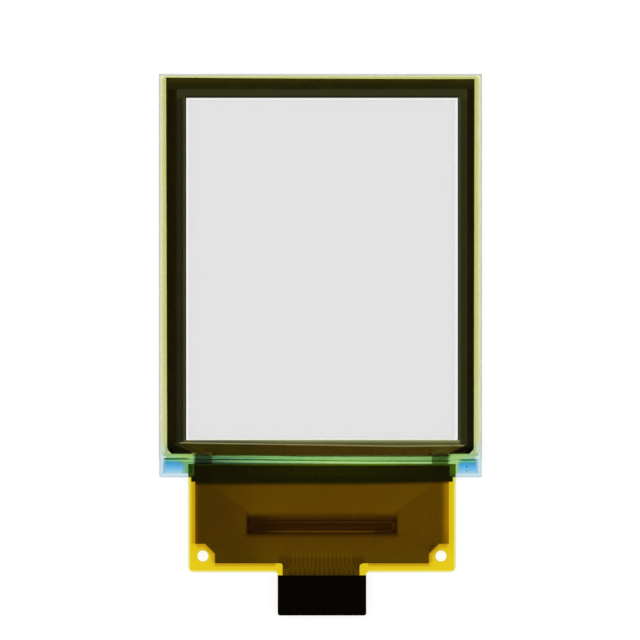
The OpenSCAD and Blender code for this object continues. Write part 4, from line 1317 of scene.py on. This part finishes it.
def resin_corner(finish):
    """Resin in the corners: green beside the film, with a painted highlight just below the cover's foot, and
    over blue to a pale foot further out.
    """
    right = finish.fade(finish.x, *SIDE_RUN)
    depth = finish.along(finish.y, cover_low.y, resin_low.y)
    down = finish.sloped(finish.sway(RESIN_CLOUD_SIZE), RESIN_CLOUD, depth)
    blue = finish.ramp(finish.sloped(right, -RESIN_RIGHT_UP, down), RESIN_CORNER_TONES)
    to_side = finish.minus(resin_high.x, finish.off_middle())
    blue = finish.blend(finish.fade(to_side, *RESIN_RIM_RUN), blue, RESIN_RIM)
    green = finish.blend(right, RESIN_BY_FILM_LEFT, RESIN_BY_FILM_RIGHT)
    # Painted highlight: a bright line along the resin just below the cover's foot
    green = finish.blend(finish.span(down, *RESIN_BY_FILM_HIGHLIGHT_SPAN), green, RESIN_BY_FILM_HIGHLIGHT)
    green = finish.shaded(green, finish.fade(down, *RESIN_BY_FILM_SHADE_RUN), WHITE, RESIN_BY_FILM_SHADE)
    at_head = finish.fade(down, *RESIN_BY_FILM_HEAD_RUN)
    width = finish.sloped(at_head, RESIN_BY_FILM_HEAD_MORE, RESIN_BY_FILM_WIDTH)
    width = finish.both(width, finish.sloped(right, -RESIN_BY_FILM_RIGHT_LESS, 1.0))
    off_film = finish.reckon("DIVIDE", finish.minus(finish.aside(), film_half), width)
    return finish.blend(finish.fade(off_film, *RESIN_BY_FILM_RUN), green, blue)


# Green of the resin strip, brightened by a painted highlight along it
RESIN_STRIP_GREEN_AND_HIGHLIGHT_TONES = (
    (0.0, (0.09, 0.20, 0.10, 1)), (0.2, (0.31, 0.63, 0.27, 1)),
    (0.6, (0.54, 0.81, 0.285, 1)), (1.0, (0.44, 0.70, 0.255, 1)))
RESIN_LINE_TONES = (
    (0.06, (0.005, 0.055, 0.009, 1)), (0.4, (0.085, 0.265, 0.05, 1)),
    (0.65, (0.19, 0.40, 0.085, 1)), (1.0, (0.09, 0.235, 0.042, 1)))
RESIN_LINE_RUN = mm(0.11, 0.045)
RESIN_LINE_DROP = 0.055 * MM
RESIN_LINE_LEAN = 0.18 * MM
RESIN_LINE_REACH = mm(-10.5, 5)
RESIN_STRIP_HEAD_RUN = mm(0.02, -0.02)
RESIN_STRIP_BELOW_HIGHLIGHT = grey(0.15)
RESIN_STRIP_BELOW_HIGHLIGHT_RUN = mm(0.42, 0.18)


def resin_strip(finish):
    """Resin between the cover and the film: green, brightened by a painted highlight just below the leaning
    dark line of the cover's foot, and darker towards the film.
    """
    to_right = finish.along(finish.x, *RESIN_LINE_REACH)
    lean = finish.sloped(to_right, RESIN_LINE_LEAN, RESIN_LINE_DROP)
    below = finish.minus(finish.minus(cover_low.y, lean), finish.y)
    strip = across_columns(finish, RESIN_STRIP_GREEN_AND_HIGHLIGHT_TONES)
    # Painted highlight: full brightness just below the cover's foot, darker towards the film
    strip = finish.shaded(strip, finish.fade(below, *RESIN_STRIP_BELOW_HIGHLIGHT_RUN), RESIN_STRIP_BELOW_HIGHLIGHT, WHITE)
    above = finish.fade(below, *RESIN_STRIP_HEAD_RUN)
    strip = finish.blend(above, strip, across_columns(finish, SEAL_FOOT_TONES))
    on_line = finish.fade(finish.size(below), *RESIN_LINE_RUN)
    return finish.blend(on_line, strip, across_columns(finish, RESIN_LINE_TONES))


RESIN_LAP = (0.86, 0.93, 0.8, 1)
RESIN_LAP_RUN = mm(0.02, -0.04)
RESIN_SPECK = (0.05, 0.16, 0.38, 1)
RESIN_SPECK_SHARE = 0.75
RESIN_SPECK_RAGGED = 0.1 * MM
SPECK_INSET = 1.13 * MM
SPECK_HIGH = mm(0.68, 0.12)
SPECK_LOW = mm(0.27, 0.1)


def speck(finish, rise, radius):
    """A small dark inclusion in the right corner of the resin, by its height over the foot."""
    across = finish.minus(finish.x, resin_high.x - SPECK_INSET)
    distance = finish.length(across, finish.minus(finish.y, resin_low.y + rise))
    ragged = finish.both(finish.sway(RESIN_SPECK_RAGGED), radius)
    return finish.fade(finish.plus(distance, ragged), radius, 0.5 * radius)


def resin_finish():
    finish = Finish("ledge_resin_blue")
    facing_up = finish.past(finish.level(), RESIN_LEVEL)
    top = finish.both(facing_up, finish.past(finish.z, substrate_high.z + RESIN_TOP_RISE))
    inner = between_pads(finish)
    tint = row_pad_shade(finish, finish.blend(inner, resin_corner(finish), resin_strip(finish)))
    lap = finish.both(inner, finish.fade(finish.y, *RESIN_LAP_RUN, at=film_high.y))
    tint = finish.blend(lap, tint, RESIN_LAP)
    specks = finish.either(speck(finish, *SPECK_HIGH), speck(finish, *SPECK_LOW))
    tint = finish.blend(finish.both(specks, RESIN_SPECK_SHARE), tint, RESIN_SPECK)
    tint = finish.blend(top, WHITE, tint)
    share = finish.both(finish.mirror_share(RESIN_INDEX), top)
    return finish.done(finish.over(share, finish.clear(tint), finish.gloss(RESIN_POLISH)))


EDGE_RESIN_TONES = ((0.010, 0.021, 0.010, 1), (0.014, 0.029, 0.013, 1))
EDGE_RESIN_CLOUD_SIZE = 0.5 * MM


def edge_resin_finish():
    finish = Finish("edge_resin_dark")
    colour = finish.blend(finish.mottle(EDGE_RESIN_CLOUD_SIZE), *EDGE_RESIN_TONES)
    return finish.done(finish.solid(colour, roughness=0.25, specular=0.15))


# Pieces worked up from the CAD solids

MERGE_WITHIN = 1e-6
FLAT_WITHIN = math.radians(0.5)
SHARP_FROM = math.radians(40)
RESIN_ROUND = 0.012 * MM
BOARD_ROUND = 0.03 * MM


def bench_copy(node, name, material):
    """Merged copy of a CAD node, ready to be worked on, that stands for the node."""
    bpy.ops.object.select_all(action="DESELECT")
    source = frame["nodes"][node]
    source.select_set(True)
    bpy.context.view_layer.objects.active = source
    bpy.ops.object.duplicate()
    piece = bpy.context.view_layer.objects.active
    del piece["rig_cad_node"]
    piece.name = name
    piece.data.name = name
    bpy.ops.mesh.customdata_custom_splitnormals_clear()
    bpy.ops.object.mode_set(mode="EDIT")
    bpy.ops.mesh.select_all(action="SELECT")
    bpy.ops.mesh.remove_doubles(threshold=MERGE_WITHIN)
    bpy.ops.mesh.dissolve_limited(angle_limit=FLAT_WITHIN)
    bpy.ops.object.mode_set(mode="OBJECT")
    piece.data.materials.clear()
    piece.data.materials.append(material)
    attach(piece, "root")
    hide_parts(node)
    return piece


def apply(piece, modifier):
    bpy.context.view_layer.objects.active = piece
    bpy.ops.object.modifier_apply(modifier=modifier.name)


def set_back(piece):
    """Draws every face of a piece in by a hair, so that it clears what it touches."""
    shrink = piece.modifiers.new("set_back", "DISPLACE")
    shrink.strength = -HAIR
    shrink.mid_level = 0
    apply(piece, shrink)


def soften(piece, width, segments):
    """Rounds the sharp edges of a piece."""
    round_over = piece.modifiers.new("soften", "BEVEL")
    round_over.width = width
    round_over.segments = segments
    round_over.limit_method = "ANGLE"
    round_over.angle_limit = SHARP_FROM
    round_over.harden_normals = False
    apply(piece, round_over)
    bpy.ops.object.select_all(action="DESELECT")
    piece.select_set(True)
    bpy.ops.object.shade_smooth_by_angle(angle=SHARP_FROM)


seal_bead = bench_copy("seal_ring", "seal_bead", seal_finish())
set_back(seal_bead)

amber_film = bench_copy("base_film", "amber_film", film_finish())
set_back(amber_film)

resin_bead = bench_copy("ledge_resin", "resin_bead", resin_finish())
set_back(resin_bead)
soften(resin_bead, RESIN_ROUND, segments=2)

stiffener_board = bench_copy("stiffener", "stiffener_board", stiffener_finish())
soften(stiffener_board, BOARD_ROUND, segments=3)


# Finishes on the CAD nodes

def dress(material, *nodes):
    """Puts a finish on CAD nodes."""
    for node in nodes:
        slots = frame["nodes"][node].data.materials
        slots.clear()
        slots.append(material)


dress(substrate_finish(), "substrate_glass")
dress(cover_finish(), "cover_glass")
dress(anode_finish(), "anode_columns")
dress(organic_finish(), "emissive_film")
dress(cathode_finish(), "cathode_rows")
dress(border_finish(), "border_film")
dress(row_lead_finish(), "row_leads_left", "row_leads_right")
dress(column_lead_finish(), "column_leads")
dress(adhesive_finish(), "acf_strip")
dress(copper_finish(), "column_traces", "row_traces_left", "row_traces_right", "input_traces")
dress(contact_finish(), "contact_fingers", "gold_bumps")
dress(resist_finish(), "solder_resist")
dress(die_finish(), "driver_die")
dress(underfill_finish(), "underfill")
dress(tape_finish(), "stiffener_tape")
dress(edge_resin_finish(), "edge_resin")


# Table

FLOOR_SIZE = 3
FLOOR_DROP = 0.05 * MM
FLOOR_GLOW = 0.83
FLOOR_WHITE = 0.2


def floor_finish():
    """White table that keeps the shadow, shows as white to the camera and is open from below."""
    finish = Finish("table_white")
    path = finish.node("ShaderNodeLightPath", {}).outputs
    seen = finish.either(path["Is Glossy Ray"], path["Is Transmission Ray"], path["Is Camera Ray"])
    light = {"Color": WHITE, "Strength": finish.both(seen, FLOOR_GLOW)}
    glow = finish.node("ShaderNodeEmission", light).outputs[0]
    face = finish.node("ShaderNodeAddShader", {0: finish.matte(grey(FLOOR_WHITE)), 1: glow}).outputs[0]
    behind = finish.node("ShaderNodeNewGeometry", {}).outputs["Backfacing"]
    return finish.done(finish.over(behind, face, finish.clear(WHITE)))


bpy.ops.object.select_all(action="DESELECT")
bpy.ops.mesh.primitive_plane_add(size=FLOOR_SIZE, location=(0, 0, -FLOOR_DROP))
table_top = bpy.context.object
table_top.name = "table_top"
table_top.data.materials.append(floor_finish())


# Light

TENT_TONES = ((0.0, grey(0.95)), (0.80, grey(0.9)), (0.93, grey(0.3)), (0.97, grey(0.05)))
LAMP_SIZE = 0.3
LAMP_LEFT_PLACE = (-0.45, 0.15, 0.42)
LAMP_LEFT_POWER = 0.9
LAMP_RIGHT_PLACE = (0.45, 0.1, 0.42)
LAMP_RIGHT_POWER = 0.7


def light_tent():
    """World as a soft white tent that is darker round the opening for the camera overhead."""
    world = bpy.data.worlds.new("light_tent")
    tent = NodeTree(world)
    direction = tent.node("ShaderNodeTexCoord", {}).outputs["Generated"]
    up = tent.node("ShaderNodeSeparateXYZ", {0: direction}).outputs[2]
    background = tent.node("ShaderNodeBackground", {"Color": tent.ramp(up, TENT_TONES)}).outputs[0]
    tent.node("ShaderNodeOutputWorld", {"Surface": background})
    bpy.context.scene.world = world


def soft_lamp(name, place, power):
    """Large soft lamp beside the module, turned to it."""
    bpy.ops.object.light_add(type="AREA", location=place)
    lamp = bpy.context.object
    lamp.name = name
    lamp.data.shape = "SQUARE"
    lamp.data.size = LAMP_SIZE
    lamp.data.energy = power
    aim = (cad_box[0] + cad_box[1]) / 2 - lamp.location
    lamp.rotation_mode = "QUATERNION"
    lamp.rotation_quaternion = aim.to_track_quat("-Z", "Y")


light_tent()
soft_lamp("lamp_left", LAMP_LEFT_PLACE, LAMP_LEFT_POWER)
soft_lamp("lamp_right", LAMP_RIGHT_PLACE, LAMP_RIGHT_POWER)


# Camera straight above, with a long lens

FIELD_W = 64.96 * MM
AIM_X = -0.05 * MM
AIM_Y = -4.5 * MM
LENS = 160
SENSOR = 36
CLIP_START = 0.01
camera_z = cover_high.z + FIELD_W * LENS / SENSOR
bpy.ops.object.camera_add(location=(AIM_X, AIM_Y, camera_z), rotation=(0, 0, 0))
camera = bpy.context.object
camera.data.lens = LENS
camera.data.sensor_width = SENSOR
camera.data.clip_start = CLIP_START

scene = bpy.context.scene
scene.camera = camera
scene.view_settings.view_transform = "Standard"
scene.cycles.transparent_max_bounces = 64
